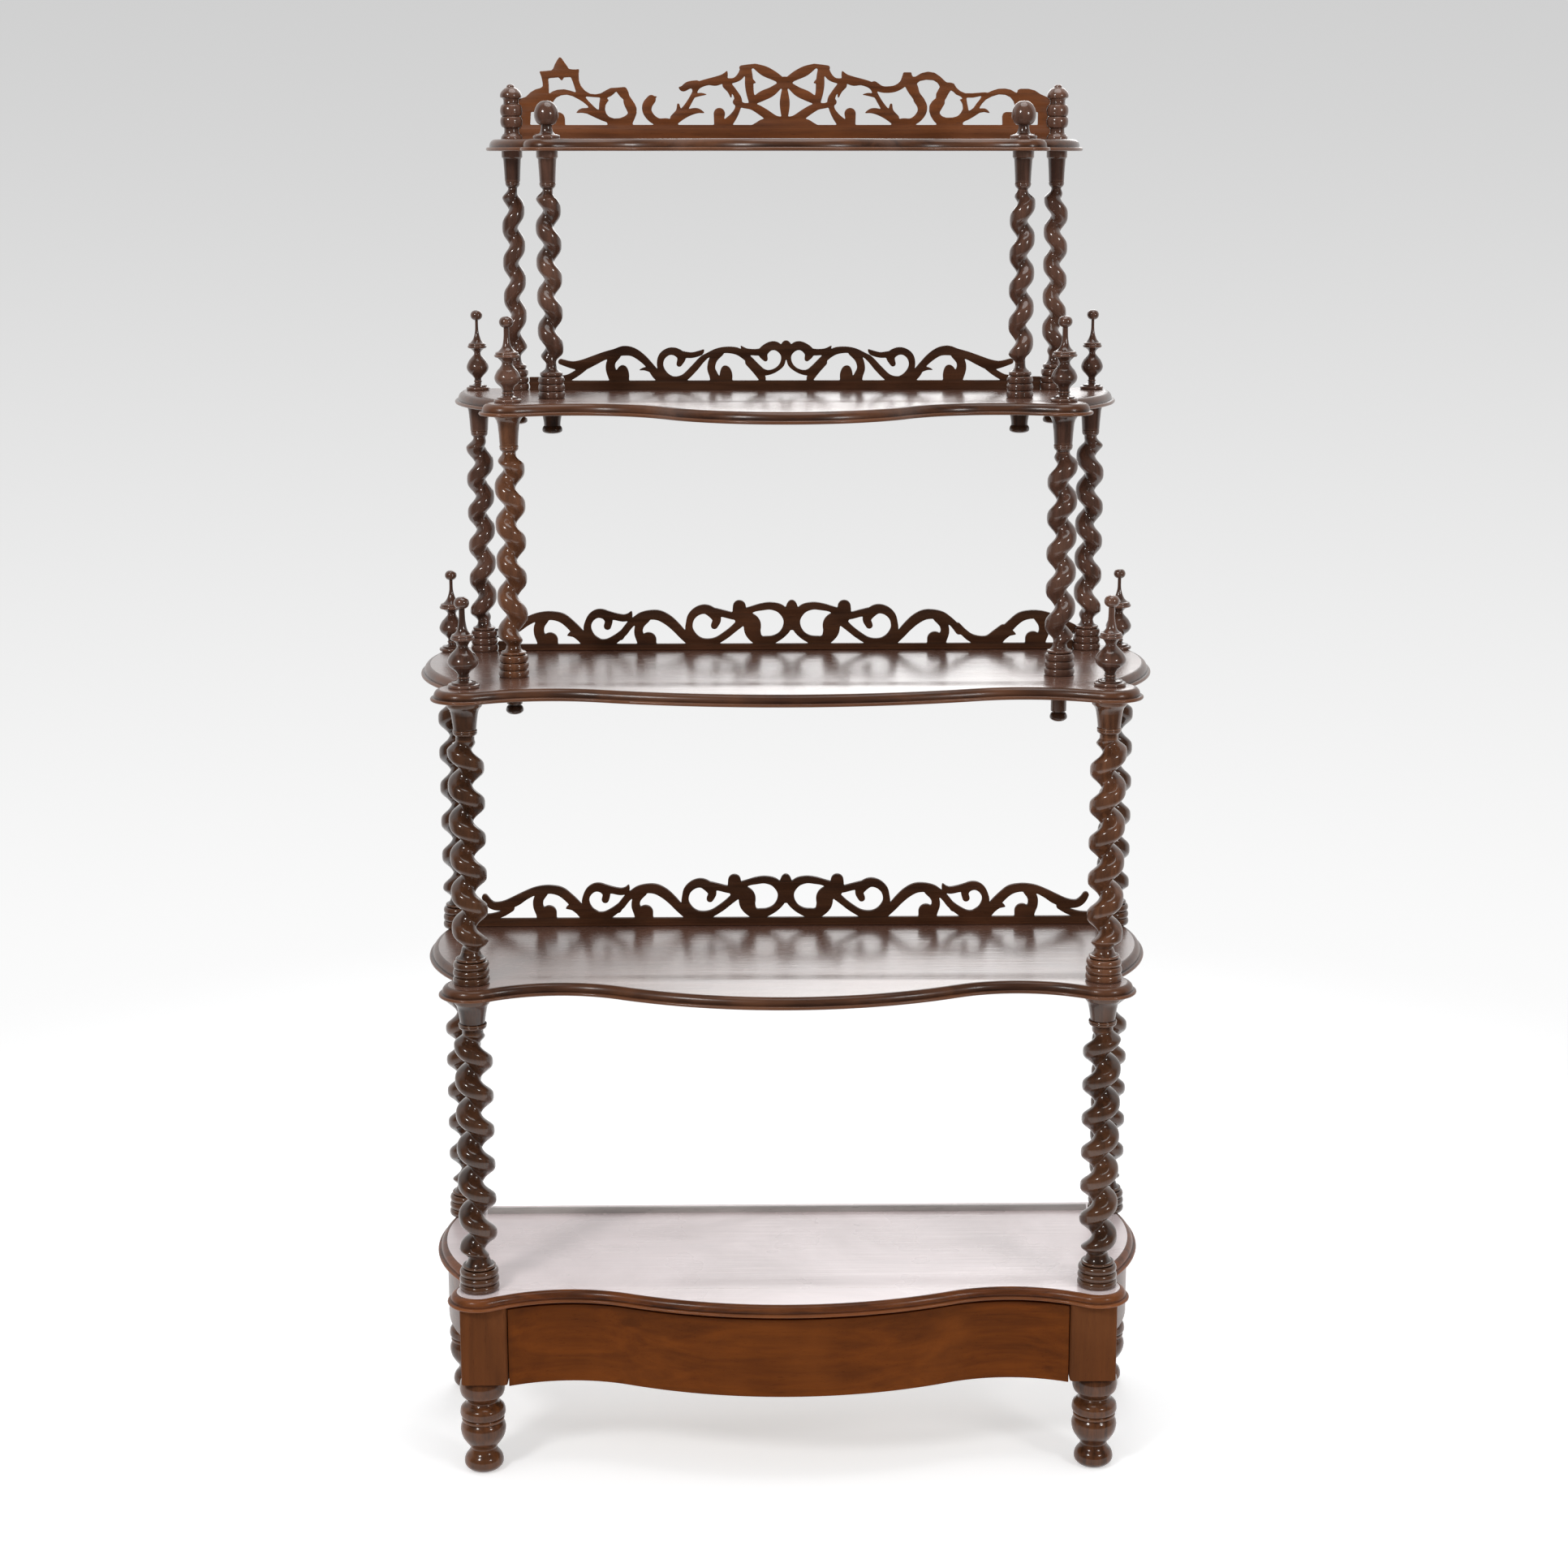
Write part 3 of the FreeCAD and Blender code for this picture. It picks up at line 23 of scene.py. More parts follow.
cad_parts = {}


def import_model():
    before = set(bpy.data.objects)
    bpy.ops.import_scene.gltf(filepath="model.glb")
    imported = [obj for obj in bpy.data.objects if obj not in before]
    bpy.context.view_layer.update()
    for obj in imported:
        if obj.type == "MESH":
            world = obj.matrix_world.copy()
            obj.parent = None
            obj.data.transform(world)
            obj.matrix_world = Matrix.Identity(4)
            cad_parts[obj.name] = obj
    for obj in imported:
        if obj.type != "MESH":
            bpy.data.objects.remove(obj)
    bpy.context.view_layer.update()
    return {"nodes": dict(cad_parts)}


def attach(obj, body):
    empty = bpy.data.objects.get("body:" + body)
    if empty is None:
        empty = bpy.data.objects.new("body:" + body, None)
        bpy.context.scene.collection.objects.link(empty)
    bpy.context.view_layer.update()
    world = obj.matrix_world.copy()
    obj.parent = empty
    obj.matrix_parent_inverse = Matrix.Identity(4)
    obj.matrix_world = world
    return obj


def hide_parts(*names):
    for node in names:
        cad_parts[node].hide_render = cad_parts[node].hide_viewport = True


LOG = logging.getLogger("etagere")
MM = 0.001
STAND = "stand"
DRAWER = "drawer"
SIDES = (("left", -1), ("right", 1))
BOARD = 14.0
BACK_EDGE = 184.0
BACK_ROW = 158.0
TOPS = {"crown": 1640.0, "upper": 1333.4, "middle": 1002.2, "lower": 637.1, "base": 240.5}

# Outputs of nodes that are read by number.
DIRECTION, OBJECT_SPACE = 0, 3
POINTEDNESS = 7
CAMERA_RAY, GLOSSY_RAY, TRANSMISSION_RAY = 0, 3, 6

# Edges that turn by more than this many degrees stay sharp.
BOARD_CREASE, TURNED_CREASE, FRET_CREASE = 30.0, 38.0, 50.0
LEVEL = 0.999
WHITE = (1.0, 1.0, 1.0, 1.0)

Point = tuple[float, float]
Band = list[tuple[float, float, float]]
Colour = tuple[float, float, float]
Solid = tuple[list, list]


# ---------------------------------------------------------------- node trees

def operator(operation: str) -> Callable[..., Wire]:
    """Make a method of Wire that adds one Math node.

    Args:
        operation: Name of the Math operation.

    Returns:
        The method.
    """
    def apply(wire: Wire, *others: Wire | float) -> Wire:
        """Add the node."""
        return wire.math(operation, *others)
    return apply


class Wire:
    """The output of a node, which adds Math nodes when it is used in an expression."""

    def __init__(self, tree: NodeSketch, socket: bpy.types.NodeSocket) -> None:
        """Keep the tree that new nodes go into and the socket itself."""
        self.tree = tree
        self.socket = socket

    def math(self, operation: str, *others: Wire | float) -> Wire:
        """Add one Math node.

        Args:
            operation: Name of the Math operation.
            others: Further operands after this wire.

        Returns:
            The result as a wire.
        """
        operands = dict(enumerate((self, *others)))
        return self.tree.node("ShaderNodeMath", operands, operation=operation)[0]

    def __rsub__(self, other: float) -> Wire:
        """Difference with a number on the left."""
        return self.tree.node("ShaderNodeMath", {0: other, 1: self}, operation="SUBTRACT")[0]

    __add__ = __radd__ = operator("ADD")
    __sub__ = operator("SUBTRACT")
    __mul__ = __rmul__ = operator("MULTIPLY")
    __truediv__ = operator("DIVIDE")
    __pow__ = operator("POWER")
    cosine, sine, root = operator("COSINE"), operator("SINE"), operator("SQRT")
    least, most = operator("MINIMUM"), operator("MAXIMUM")

    def held(self) -> Wire:
        """The value held between 0 and 1."""
        return self.most(0.0).least(1.0)

    def smooth(self, low: float, high: float) -> Wire:
        """Smooth step.

        Args:
            low: Value that becomes 0.
            high: Value that becomes 1.

        Returns:
            The eased value between 0 and 1.
        """
        return self.tree.node("ShaderNodeMapRange", {0: self, 1: low, 2: high},
                              interpolation_type="SMOOTHSTEP")[0]


class NodeSketch:
    """A node tree under construction."""

    def __init__(self, tree: bpy.types.NodeTree) -> None:
        """Start with an empty tree."""
        self.tree = tree
        tree.nodes.clear()

    def node(self, kind: str, sockets: dict[str | int, Wire | float | tuple] | None = None,
             **settings: str | bool) -> list[Wire]:
        """Add a node.

        Args:
            kind: Type name of the node.
            sockets: Values or wires by name or number of the input.
            settings: Properties of the node, which are set first.

        Returns:
            The outputs of the node as wires.
        """
        made = self.tree.nodes.new(kind)
        for name, value in settings.items():
            setattr(made, name, value)
        for key, value in (sockets or {}).items():
            entry = made.inputs[key]
            if isinstance(value, Wire):
                self.tree.links.new(value.socket, entry)
            else:
                entry.default_value = value
        return [Wire(self, output) for output in made.outputs]

    def blend(self, factor: Wire | float, first: Wire | Colour,
              second: Wire | Colour) -> Wire:
        """Mix two colours.

        Args:
            factor: Share of the second colour.
            first: Colour at 0.
            second: Colour at 1.

        Returns:
            The mixed colour.
        """
        pair = [value if isinstance(value, Wire) else (*value, 1.0) for value in (first, second)]
        return self.node("ShaderNodeMix", {0: factor, 6: pair[0], 7: pair[1]},
                         data_type="RGBA", clamp_factor=True)[2]

    def scaled(self, vector: Wire, factors: tuple[float, float, float]) -> Wire:
        """A vector multiplied part by part."""
        return self.node("ShaderNodeVectorMath", {0: vector, 1: factors},
                         operation="MULTIPLY")[0]

    def noise(self, vector: Wire, scale: float, detail: float = 4.0, rough: float = 0.55,
              distortion: float = 0.0) -> Wire:
        """Noise.

        Args:
            vector: Where the noise is read.
            scale: Its scale.
            detail: Octaves.
            rough: Share of the finer octaves.
            distortion: How far the pattern is bent.

        Returns:
            The noise value.
        """
        return self.node("ShaderNodeTexNoise", {
            "Vector": vector, "Scale": scale, "Detail": detail, "Roughness": rough,
            "Distortion": distortion})[0]

    def split(self, vector: Wire) -> list[Wire]:
        """The three parts of a vector."""
        return self.node("ShaderNodeSeparateXYZ", {0: vector})

    def bump(self, relief: Wire, strength: float, depth: float) -> Wire:
        """A normal that is bent by a relief of some depth in metres."""
        return self.node("ShaderNodeBump", {"Strength": strength, "Distance": depth,
                                            "Height": relief})[0]

    def output(self, kind: str, shader: Wire) -> None:
        """Lead a shader to the output node."""
        self.node(kind, {0: shader})


def new_material(name: str) -> tuple[bpy.types.Material, NodeSketch]:
    """An empty material and the sketch of its tree."""
    material = bpy.data.materials.new(name)
    material.use_nodes = True
    return material, NodeSketch(material.node_tree)


# ---------------------------------------------------------------- finishes

# Depth in metres of the relief of polished and of plain wood.
RELIEF, PINE_RELIEF = 0.0004, 0.0005


class Grain(Enum):
    """Direction of the grain, as the stretch of the pattern along X, Y and Z."""

    ALONG_X = (1.0, 16.0, 16.0)
    ALONG_Z = (16.0, 16.0, 1.0)
    ALONG_Y = (16.0, 1.0, 16.0)


@dataclass(frozen=True)
class PolishedWalnut:
    """French polished walnut or rosewood, worn bright on its edges.

    Attributes:
        name: Name of the material.
        streak: Linear colour of the dark streaks.
        body: Linear colour of the wood between them.
        worn: Linear colour of worn places and arrises.
        grain: Direction of the grain.
        roughness: Roughness of the wood under the polish.
        coat: How much polish lies on it.
        coat_ior: Refraction of the polish.
        coat_roughness: Roughness of the polish.
        wear: How bright the arrises are worn.
        bloom_and_sheen: Share of the pale layer over the wood: bloom of the polish, and a painted
            sheen that stands in for the reflection of pale surroundings.
        bloom_and_sheen_colour: Linear colour of that bloom and painted sheen.
        bloom_and_sheen_colour: Linear colour of the bloom.
        figure: Size of the pattern of the wood; more is finer.
        shine: Level of the wood's own reflection.
        ior: Refraction of the wood.
        ripple: Whether the board is rippled along its length, which draws reflections out.
    """

    name: str
    streak: Colour
    body: Colour
    worn: Colour
    grain: Grain
    roughness: float = 0.3
    coat: float = 0.5
    coat_ior: float = 1.5
    coat_roughness: float = 0.12
    wear: float = 0.5
    bloom_and_sheen: float = 0.0
    bloom_and_sheen_colour: Colour = (0.5, 0.45, 0.45)
    figure: float = 1.0
    shine: float = 0.5
    ior: float = 1.5
    ripple: bool = False

    def _colour(self, sketch: NodeSketch, place: Wire, along: Wire, pores: Wire,
                patch: Wire) -> Wire:
        """Streaks and bands, then worn places, arrises, grime with painted shade in the hollows,
        pores, and bloom with a painted sheen over them.
        """
        figure = sketch.noise(along, 3.2 * self.figure, 5.0, 0.6, 1.4).smooth(0.34, 0.68)
        bands = sketch.noise(along, 11.0 * self.figure, 3.0, 0.5, 0.5).smooth(0.3, 0.75)
        colour = sketch.blend(figure * 0.65 + bands * 0.35, self.streak, self.body)
        colour = sketch.blend(patch.smooth(0.42, 0.75) * 0.35, colour, self.worn)
        edge = sketch.node("ShaderNodeNewGeometry")[POINTEDNESS]
        bright = edge.smooth(0.505, 0.56) * self.wear
        # Painted shade: where pointiness is low, hollows and creases darken towards the dark
        # colour, together with the grime that gathers there.
        hollow_grime_and_shade = (1.0 - edge.smooth(0.43, 0.495)) * 0.75
        dark = tuple(0.35 * part for part in self.streak)
        colour = sketch.blend(bright, colour, self.worn)
        colour = sketch.blend(hollow_grime_and_shade, colour, dark)
        colour = sketch.blend(pores * 0.45, colour, dark)
        # Bloom with a painted sheen: a pale cloudy layer, partly old polish bloom and partly a
        # painted reflection of the pale surroundings.
        if self.bloom_and_sheen > 0:
            cloud = sketch.noise(place, 5.0, 6.0, 0.62, 0.6).smooth(0.25, 0.7)
            scratch = sketch.noise(sketch.scaled(along, (0.6, 2.0, 2.0)), 14.0, 4.0, 0.7)
            share = (0.62 + cloud * 0.3 + scratch * 0.16) * self.bloom_and_sheen
            colour = sketch.blend(share.held(), colour, self.bloom_and_sheen_colour)
        return colour

    def build(self) -> bpy.types.Material:
        """Make the material.

        Returns:
            The node-based material.
        """
        material, sketch = new_material(self.name)
        place = sketch.node("ShaderNodeTexCoord")[OBJECT_SPACE]
        along = sketch.scaled(place, self.grain.value)
        fibre = sketch.noise(along, 62.0, 3.0, 0.6)
        pores = fibre.smooth(0.60, 0.72)
        patch = sketch.noise(place, 9.0, 3.0, 0.5)
        if self.ripple:
            relief = sketch.noise(sketch.scaled(place, (0.04, 1.0, 1.0)), 170.0, 2.0, 0.5)
        else:
            relief = fibre * 0.5 + sketch.noise(place, 120.0, 2.0) * 0.35
        normal = sketch.bump(relief, 0.75 if self.ripple else 0.12, RELIEF)
        rough = (patch * 0.12 + pores * 0.12 + self.roughness - 0.06).held()
        sockets = {"Base Color": self._colour(sketch, place, along, pores, patch),
                   "Roughness": rough, "Normal": normal, "IOR": self.ior,
                   "Coat Weight": self.coat, "Coat Roughness": self.coat_roughness,
                   "Coat IOR": self.coat_ior, "Specular IOR Level": self.shine}
        surface = sketch.node("ShaderNodeBsdfPrincipled", sockets)[0]
        sketch.output("ShaderNodeOutputMaterial", surface)
        return material


@dataclass(frozen=True)
class PlainPine:
    """Unpolished secondary wood of the drawer and the carcass."""

    name: str = "plain_pine"
    early: Colour = (0.36, 0.22, 0.11)
    late: Colour = (0.22, 0.115, 0.05)
    stain: Colour = (0.12, 0.07, 0.04)
    stretch: tuple[float, float, float] = (1.0, 14.0, 18.0)

    def build(self) -> bpy.types.Material:
        """Make the material.

        Returns:
            The node-based material.
        """
        material, sketch = new_material(self.name)
        place = sketch.node("ShaderNodeTexCoord")[OBJECT_SPACE]
        along = sketch.scaled(place, self.stretch)
        rings = sketch.noise(along, 5.5, 3.0, 0.5, 1.0).smooth(0.38, 0.62)
        fibre = sketch.noise(along, 70.0, 3.0, 0.6)
        age = sketch.noise(place, 6.0, 4.0, 0.6).smooth(0.4, 0.75)
        colour = sketch.blend(rings, self.early, self.late)
        colour = sketch.blend(fibre.smooth(0.5, 0.8) * 0.4, colour, self.late)
        colour = sketch.blend(age * 0.5, colour, self.stain)
        sockets = {"Base Color": colour, "Roughness": fibre * 0.2 + 0.6,
                   "Normal": sketch.bump(fibre, 0.25, PINE_RELIEF)}
        surface = sketch.node("ShaderNodeBsdfPrincipled", sockets)[0]
        sketch.output("ShaderNodeOutputMaterial", surface)
        return material


TURNED = PolishedWalnut("turned_walnut", (0.020, 0.009, 0.005), (0.080, 0.030, 0.013),
                        (0.20, 0.086, 0.040), Grain.ALONG_Z, coat=0.75, coat_ior=1.6,
                        coat_roughness=0.09, shine=0.12)
TURNED_PALE = replace(TURNED, name="turned_pale_walnut", streak=(0.034, 0.016, 0.010),
                      body=(0.115, 0.050, 0.032), worn=(0.25, 0.125, 0.082), coat=0.8)
TURNED_RED = replace(TURNED, name="turned_red_walnut", streak=(0.050, 0.018, 0.008),
                     body=(0.165, 0.064, 0.028), worn=(0.30, 0.13, 0.067), coat=0.8)
FOOT_FINISH = replace(TURNED, name="foot_walnut", streak=(0.038, 0.014, 0.006),
                      body=(0.145, 0.048, 0.015), worn=(0.25, 0.10, 0.04), coat=0.5)
# The bloom on the shelf tops is partly a painted sheen, standing in for the reflection of the
# pale surroundings.
SHELF = PolishedWalnut("shelf_walnut", (0.050, 0.022, 0.015), (0.14, 0.062, 0.042),
                       (0.25, 0.14, 0.10), Grain.ALONG_X, roughness=0.24, coat=0.6,
                       coat_ior=1.8, coat_roughness=0.25, wear=0.2, bloom_and_sheen=0.28,
                       bloom_and_sheen_colour=(0.40, 0.21, 0.15), figure=0.8, ior=1.8, ripple=True)
UPPER_SHELF = replace(SHELF, name="upper_shelf_walnut", coat=0.15, bloom_and_sheen=0.22, ior=1.6)
# Painted reflection: the pale colours and the full pale bloom stand in for the pale surroundings
# that the polished base top reflects; the walnut itself is darker.
BASE_TOP = PolishedWalnut("base_top_painted_reflection", (0.12, 0.075, 0.065), (0.28, 0.19, 0.17),
                          (0.50, 0.40, 0.37), Grain.ALONG_X, roughness=0.28, coat=0.25,
                          coat_ior=1.8, coat_roughness=0.28, wear=0.1, bloom_and_sheen=1.0,
                          bloom_and_sheen_colour=(0.88, 0.76, 0.76), ior=1.8, ripple=True)
EDGE = PolishedWalnut("edge_walnut", (0.028, 0.011, 0.006), (0.090, 0.034, 0.015),
                      (0.24, 0.09, 0.037), Grain.ALONG_X, coat=0.2, wear=0.6, shine=0.3)
BASE_EDGE = PolishedWalnut("base_edge_walnut", (0.040, 0.013, 0.006), (0.17, 0.046, 0.012),
                           (0.34, 0.11, 0.03), Grain.ALONG_X, coat=0.12, wear=0.6, shine=0.18)
FRET = PolishedWalnut("fret_walnut", (0.020, 0.009, 0.005), (0.060, 0.026, 0.012),
                      (0.15, 0.052, 0.022), Grain.ALONG_X, roughness=0.42, coat=0.04,
                      wear=0.3, shine=0.1)
CROWN_FRET = PolishedWalnut("crown_fret_walnut", (0.060, 0.018, 0.006), (0.165, 0.048, 0.012),
                            (0.25, 0.082, 0.024), Grain.ALONG_X, roughness=0.42, coat=0.1,
                            wear=0.25, shine=0.2)
FRONT = PolishedWalnut("drawer_front_walnut", (0.062, 0.016, 0.0035), (0.165, 0.041, 0.006),
                       (0.27, 0.074, 0.013), Grain.ALONG_X, roughness=0.4, coat=0.02,
                       wear=0.3, figure=0.7, shine=0.05)
BLOCK = PolishedWalnut("block_walnut", (0.044, 0.013, 0.005), (0.128, 0.036, 0.010),
                       (0.22, 0.08, 0.030), Grain.ALONG_Z, roughness=0.4, coat=0.0,
                       wear=0.4, figure=0.7, shine=0.03)
RAIL = PolishedWalnut("rail_walnut", (0.045, 0.017, 0.009), (0.13, 0.05, 0.025),
                      (0.24, 0.11, 0.06), Grain.ALONG_Y, roughness=0.34, coat=0.2, wear=0.3,
                      shine=0.3)
# Painted reflection: the pale grey colours stand in for the pale surroundings reflected on the
# strip's polished round top.
STRIP = PolishedWalnut("strip_walnut_painted_reflection", (0.22, 0.19, 0.18), (0.40, 0.36, 0.34),
                       (0.55, 0.52, 0.50), Grain.ALONG_X, roughness=0.35, coat=0.2, wear=0.3,
                       shine=0.3)
PINE = PlainPine()


@cache
def dressed(finish: PolishedWalnut | PlainPine) -> bpy.types.Material:
    """The material of a finish, made once."""
    return finish.build()


# ---------------------------------------------------------------- meshes

def placed(name: str, data: bpy.types.ID | None) -> bpy.types.Object:
    """A new object that is linked to the scene."""
    made = bpy.data.objects.new(name, data)
    bpy.context.scene.collection.objects.link(made)
    return made


def metre_mesh(name: str, points: Sequence[Sequence[float]],
               faces: Sequence[Sequence[int]]) -> bpy.types.Mesh:
    """A mesh in metres from points in millimetres."""
    mesh = bpy.data.meshes.new(name)
    mesh.from_pydata([tuple(part * MM for part in point) for point in points], [], faces)
    return mesh


@contextmanager
def edited(mesh: bpy.types.Mesh) -> Iterator[bmesh.types.BMesh]:
    """Open a mesh for editing, and write it back at the end."""
    work = bmesh.new()
    work.from_mesh(mesh)
    yield work
    work.to_mesh(mesh)
    work.free()


def baked(carrier: bpy.types.Object) -> bpy.types.Mesh:
    """The mesh that an object shows, with its modifiers applied."""
    return bpy.data.meshes.new_from_object(
        carrier.evaluated_get(bpy.context.evaluated_depsgraph_get()))


def finish_piece(name: str, mesh: bpy.types.Mesh, finishes: Sequence[PolishedWalnut],
                 crease: float) -> bpy.types.Object:
    """Clean a mesh, turn its faces outwards, mark its sharp edges and dress it.

    Args:
        name: Name of the object.
        mesh: The mesh in metres.
        finishes: One finish, or one for the level top and one for all else.
        crease: Edges that turn by more than this many degrees stay sharp.

    Returns:
        The object, linked to the scene.
    """
    mesh.materials.clear()
    for finish in finishes:
        mesh.materials.append(dressed(finish))
    with edited(mesh) as work:
        bmesh.ops.remove_doubles(work, verts=work.verts, dist=1e-6)
        bmesh.ops.recalc_face_normals(work, faces=work.faces)
        for face in work.faces:
            face.smooth = True
            face.material_index = 0 if face.normal.z > LEVEL else len(finishes) - 1
        for edge in work.edges:
            edge.smooth = edge.is_manifold and edge.calc_face_angle(0.0) < math.radians(crease)
    return placed(name, mesh)


def new_piece(name: str, solid: Solid, finish: PolishedWalnut,
              crease: float = BOARD_CREASE) -> bpy.types.Object:
    """Make a dressed object from vertices in millimetres and faces."""
    return finish_piece(name, metre_mesh(name, *solid), (finish,), crease)


def softened(piece: bpy.types.Object, width: float) -> bpy.types.Object:
    """Round the sharp edges of a piece and apply that to its mesh.

    Args:
        piece: The object.
        width: Width of the rounding in millimetres.

    Returns:
        The same object.
    """
    bevel = piece.modifiers.new("softened", "BEVEL")
    bevel.width = width * MM
    bevel.segments = 2
    bevel.limit_method = "ANGLE"
    bevel.angle_limit = math.radians(40)
    bevel.harden_normals = True
    mesh = baked(piece)
    piece.modifiers.clear()
    piece.data = mesh
    return piece


def skinned(rows: Sequence[Sequence[Sequence[float]]], closed: bool = True) -> Solid:
    """Join rows of points by faces and cap the first row and the last.

    Args:
        rows: Rows with the same count of points.
        closed: Whether each row runs round to its start.

    Returns:
        The vertices and the faces.
    """
    count = len(rows[0])
    points = [point for row in rows for point in row]
    faces = []
    for low in range(0, len(points) - count, count):
        for step in range(count if closed else count - 1):
            after = (step + 1) % count
            faces.append([low + step, low + after, low + count + after, low + count + step])
    faces.append(list(range(count))[::-1])
    faces.append(list(range(len(points) - count, len(points))))
    return points, faces


def prism(outline: Sequence[Point], low: float, high: float) -> Solid:
    """An upright prism over an outline in plan."""
    return skinned([[(x, y, z) for x, y in outline] for z in (low, high)])


def moulded(section: Sequence[Point], left: float, right: float) -> Solid:
    """A strip along X with a section in Y and Z."""
    return skinned([[(x, y, z) for y, z in section] for x in (left, right)])


def arc(centre: Point, radius: float, start: float, end: float, count: int) -> list[Point]:
    """Points on an arc between two angles in radians."""
    return [(centre[0] + radius * math.cos(turn), centre[1] + radius * math.sin(turn))
            for turn in np.linspace(start, end, count)]


def report(piece: bpy.types.Object, body: str, slot: str, *nodes: str) -> None:
    """Put a piece on its body in place of CAD nodes and log it.

    Args:
        piece: The finished object.
        body: Body that it rides on.
        slot: Not used.
        nodes: CAD nodes that it stands for.
    """
    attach(piece, body)
    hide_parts(*nodes)
    LOG.info("%s on %s, %d faces", piece.name, body, len(piece.data.polygons))


# ---------------------------------------------------------------- shelves

@dataclass
class Shelf:
    """A serpentine shelf with an ovolo and a bead round its front and sides."""

    name: str
    corner: Point
    corner_radius: float
    recess: Point
    bow: float
    half_width: float
    widest: float
    side_radius: float
    finish: PolishedWalnut = SHELF
    edge_finish: PolishedWalnut = EDGE
    notch_round: float = 2.5

    # Points along each arc of the outline.
    BOW: ClassVar[int] = 26
    HOLLOW: ClassVar[int] = 16
    LOBE: ClassVar[int] = 28
    NOTCH: ClassVar[int] = 6
    SIDE: ClassVar[int] = 24
    RAIL: ClassVar[int] = 20

    def __post_init__(self) -> None:
        """Work out the radii that let the bow, hollow and corner run into one another."""
        run = self.corner[0] - self.recess[0]
        rise = self.recess[1] - self.corner[1]
        self.hollow = (run**2 + rise**2 - self.corner_radius**2) / (
            2 * (rise + self.corner_radius))
        self.hollow_centre = (self.recess[0], self.recess[1] - self.hollow)
        depth = self.hollow_centre[1] - self.bow
        self.bow_radius = (self.recess[0]**2 + depth**2 - self.hollow**2) / (
            2 * (self.recess[1] - self.bow))
        self.bow_centre = (0.0, self.bow + self.bow_radius)
        self.side_centre = (self.half_width - self.side_radius, self.widest)

    def _notch_centre(self) -> Point:
        """Centre of the small round between the corner and the side."""
        corner, side = Vector(self.corner), Vector(self.side_centre)
        near = self.corner_radius + self.notch_round
        far = self.side_radius + self.notch_round
        between = side - corner
        along = (near**2 - far**2 + between.length_squared) / (2 * between.length)
        across = math.sqrt(near**2 - along**2)
        axis = between.normalized()
        centre = corner + axis * along + Vector((axis.y, -axis.x)) * across
        return centre.x, centre.y

    def front_half(self, inset: float, half: float | None = None) -> list[Point]:
        """Right half of the bow and hollow.

        Args:
            inset: Distance inside the edge.
            half: Stops at this x where it is given.

        Returns:
            The points from the middle outwards.
        """
        toward = math.atan2(self.hollow_centre[1] - self.bow_centre[1], self.hollow_centre[0])
        points = arc(self.bow_centre, self.bow_radius - inset, -math.pi / 2, toward,
                     self.BOW)
        meet = math.atan2(self.corner[1] - self.hollow_centre[1],
                          self.corner[0] - self.hollow_centre[0])
        if half is not None:
            meet = math.acos((half - self.hollow_centre[0]) / (self.hollow + inset))
        return points + arc(self.hollow_centre, self.hollow + inset, toward + math.pi, meet,
                            self.HOLLOW)[1:]

    def side_half(self, inset: float, start_y: float, end_y: float) -> list[Point]:
        """Right side between two depths, inside the edge."""
        radius = self.side_radius - inset
        first = math.asin((start_y - self.widest) / radius)
        last = math.asin((end_y - self.widest) / radius)
        return arc(self.side_centre, radius, first, last, self.RAIL)

    def right_half(self, inset: float) -> list[Point]:
        """Right half of the outline, from the middle of the bow to the back edge."""
        points = self.front_half(inset)
        notch = self._notch_centre()
        start = math.atan2(self.hollow_centre[1] - self.corner[1],
                           self.hollow_centre[0] - self.corner[0])
        leave = math.atan2(notch[1] - self.corner[1], notch[0] - self.corner[0])
        points += arc(self.corner, self.corner_radius - inset, start, leave, self.LOBE)[1:]
        enter = math.atan2(notch[1] - self.side_centre[1], notch[0] - self.side_centre[0])
        first, last = leave + math.pi, enter + math.pi
        turn = (last - first + math.pi) % (2 * math.pi) - math.pi
        points += arc(notch, self.notch_round + inset, first, first + turn, self.NOTCH)[1:]
        radius = self.side_radius - inset
        last = math.asin((BACK_EDGE - self.widest) / radius)
        return points + arc(self.side_centre, radius, enter, last, self.SIDE)[1:]

    def outline(self, inset: float) -> list[Point]:
        """Whole outline from the back left round the front to the back right."""
        right = self.right_half(inset)
        return [(-x, y) for x, y in right[:0:-1]] + right

    @staticmethod
    def moulding() -> list[Point]:
        """Section of the edge as inset and height, from the underside to the top arris."""
        bead = [(2.2 - 2.2 * math.cos(turn), 2.2 + 2.2 * math.sin(turn))
                for turn in np.radians([-90, -60, -30, 0, 30, 60, 80])]
        ovolo = [(11.6 - 7.5 * math.cos(turn), 5.4 + 8.6 * math.sin(turn))
                 for turn in np.radians([0, 14, 28, 42, 56, 70, 82])]
        return bead + [(3.6, 4.55), (4.1, 4.8)] + ovolo + [(11.6, BOARD)]

    def mesh(self) -> Solid:
        """Vertices and faces of the whole board."""
        low = TOPS[self.name] - BOARD
        rows = [[(x, y, low + height) for x, y in self.outline(inset)]
                for inset, height in self.moulding()]
        points, faces = skinned(rows, closed=False)
        count = len(rows[0])
        starts = list(range(0, len(points), count))
        faces.append(starts + [start + count - 1 for start in starts[::-1]])
        return points, faces

    def finished(self, name: str, mesh: bpy.types.Mesh) -> None:
        """Dress the top and the edge of a board apart.

        Args:
            name: Name of the CAD node that it replaces.
            mesh: The mesh in metres.
        """
        finishes = (self.finish, self.edge_finish)
        report(finish_piece(f"{name}_board", mesh, finishes, BOARD_CREASE), STAND,
               "shelf_walnut", name)

    def build(self) -> None:
        """Make the board."""
        self.finished(f"{self.name}_shelf", metre_mesh(self.name, *self.mesh()))


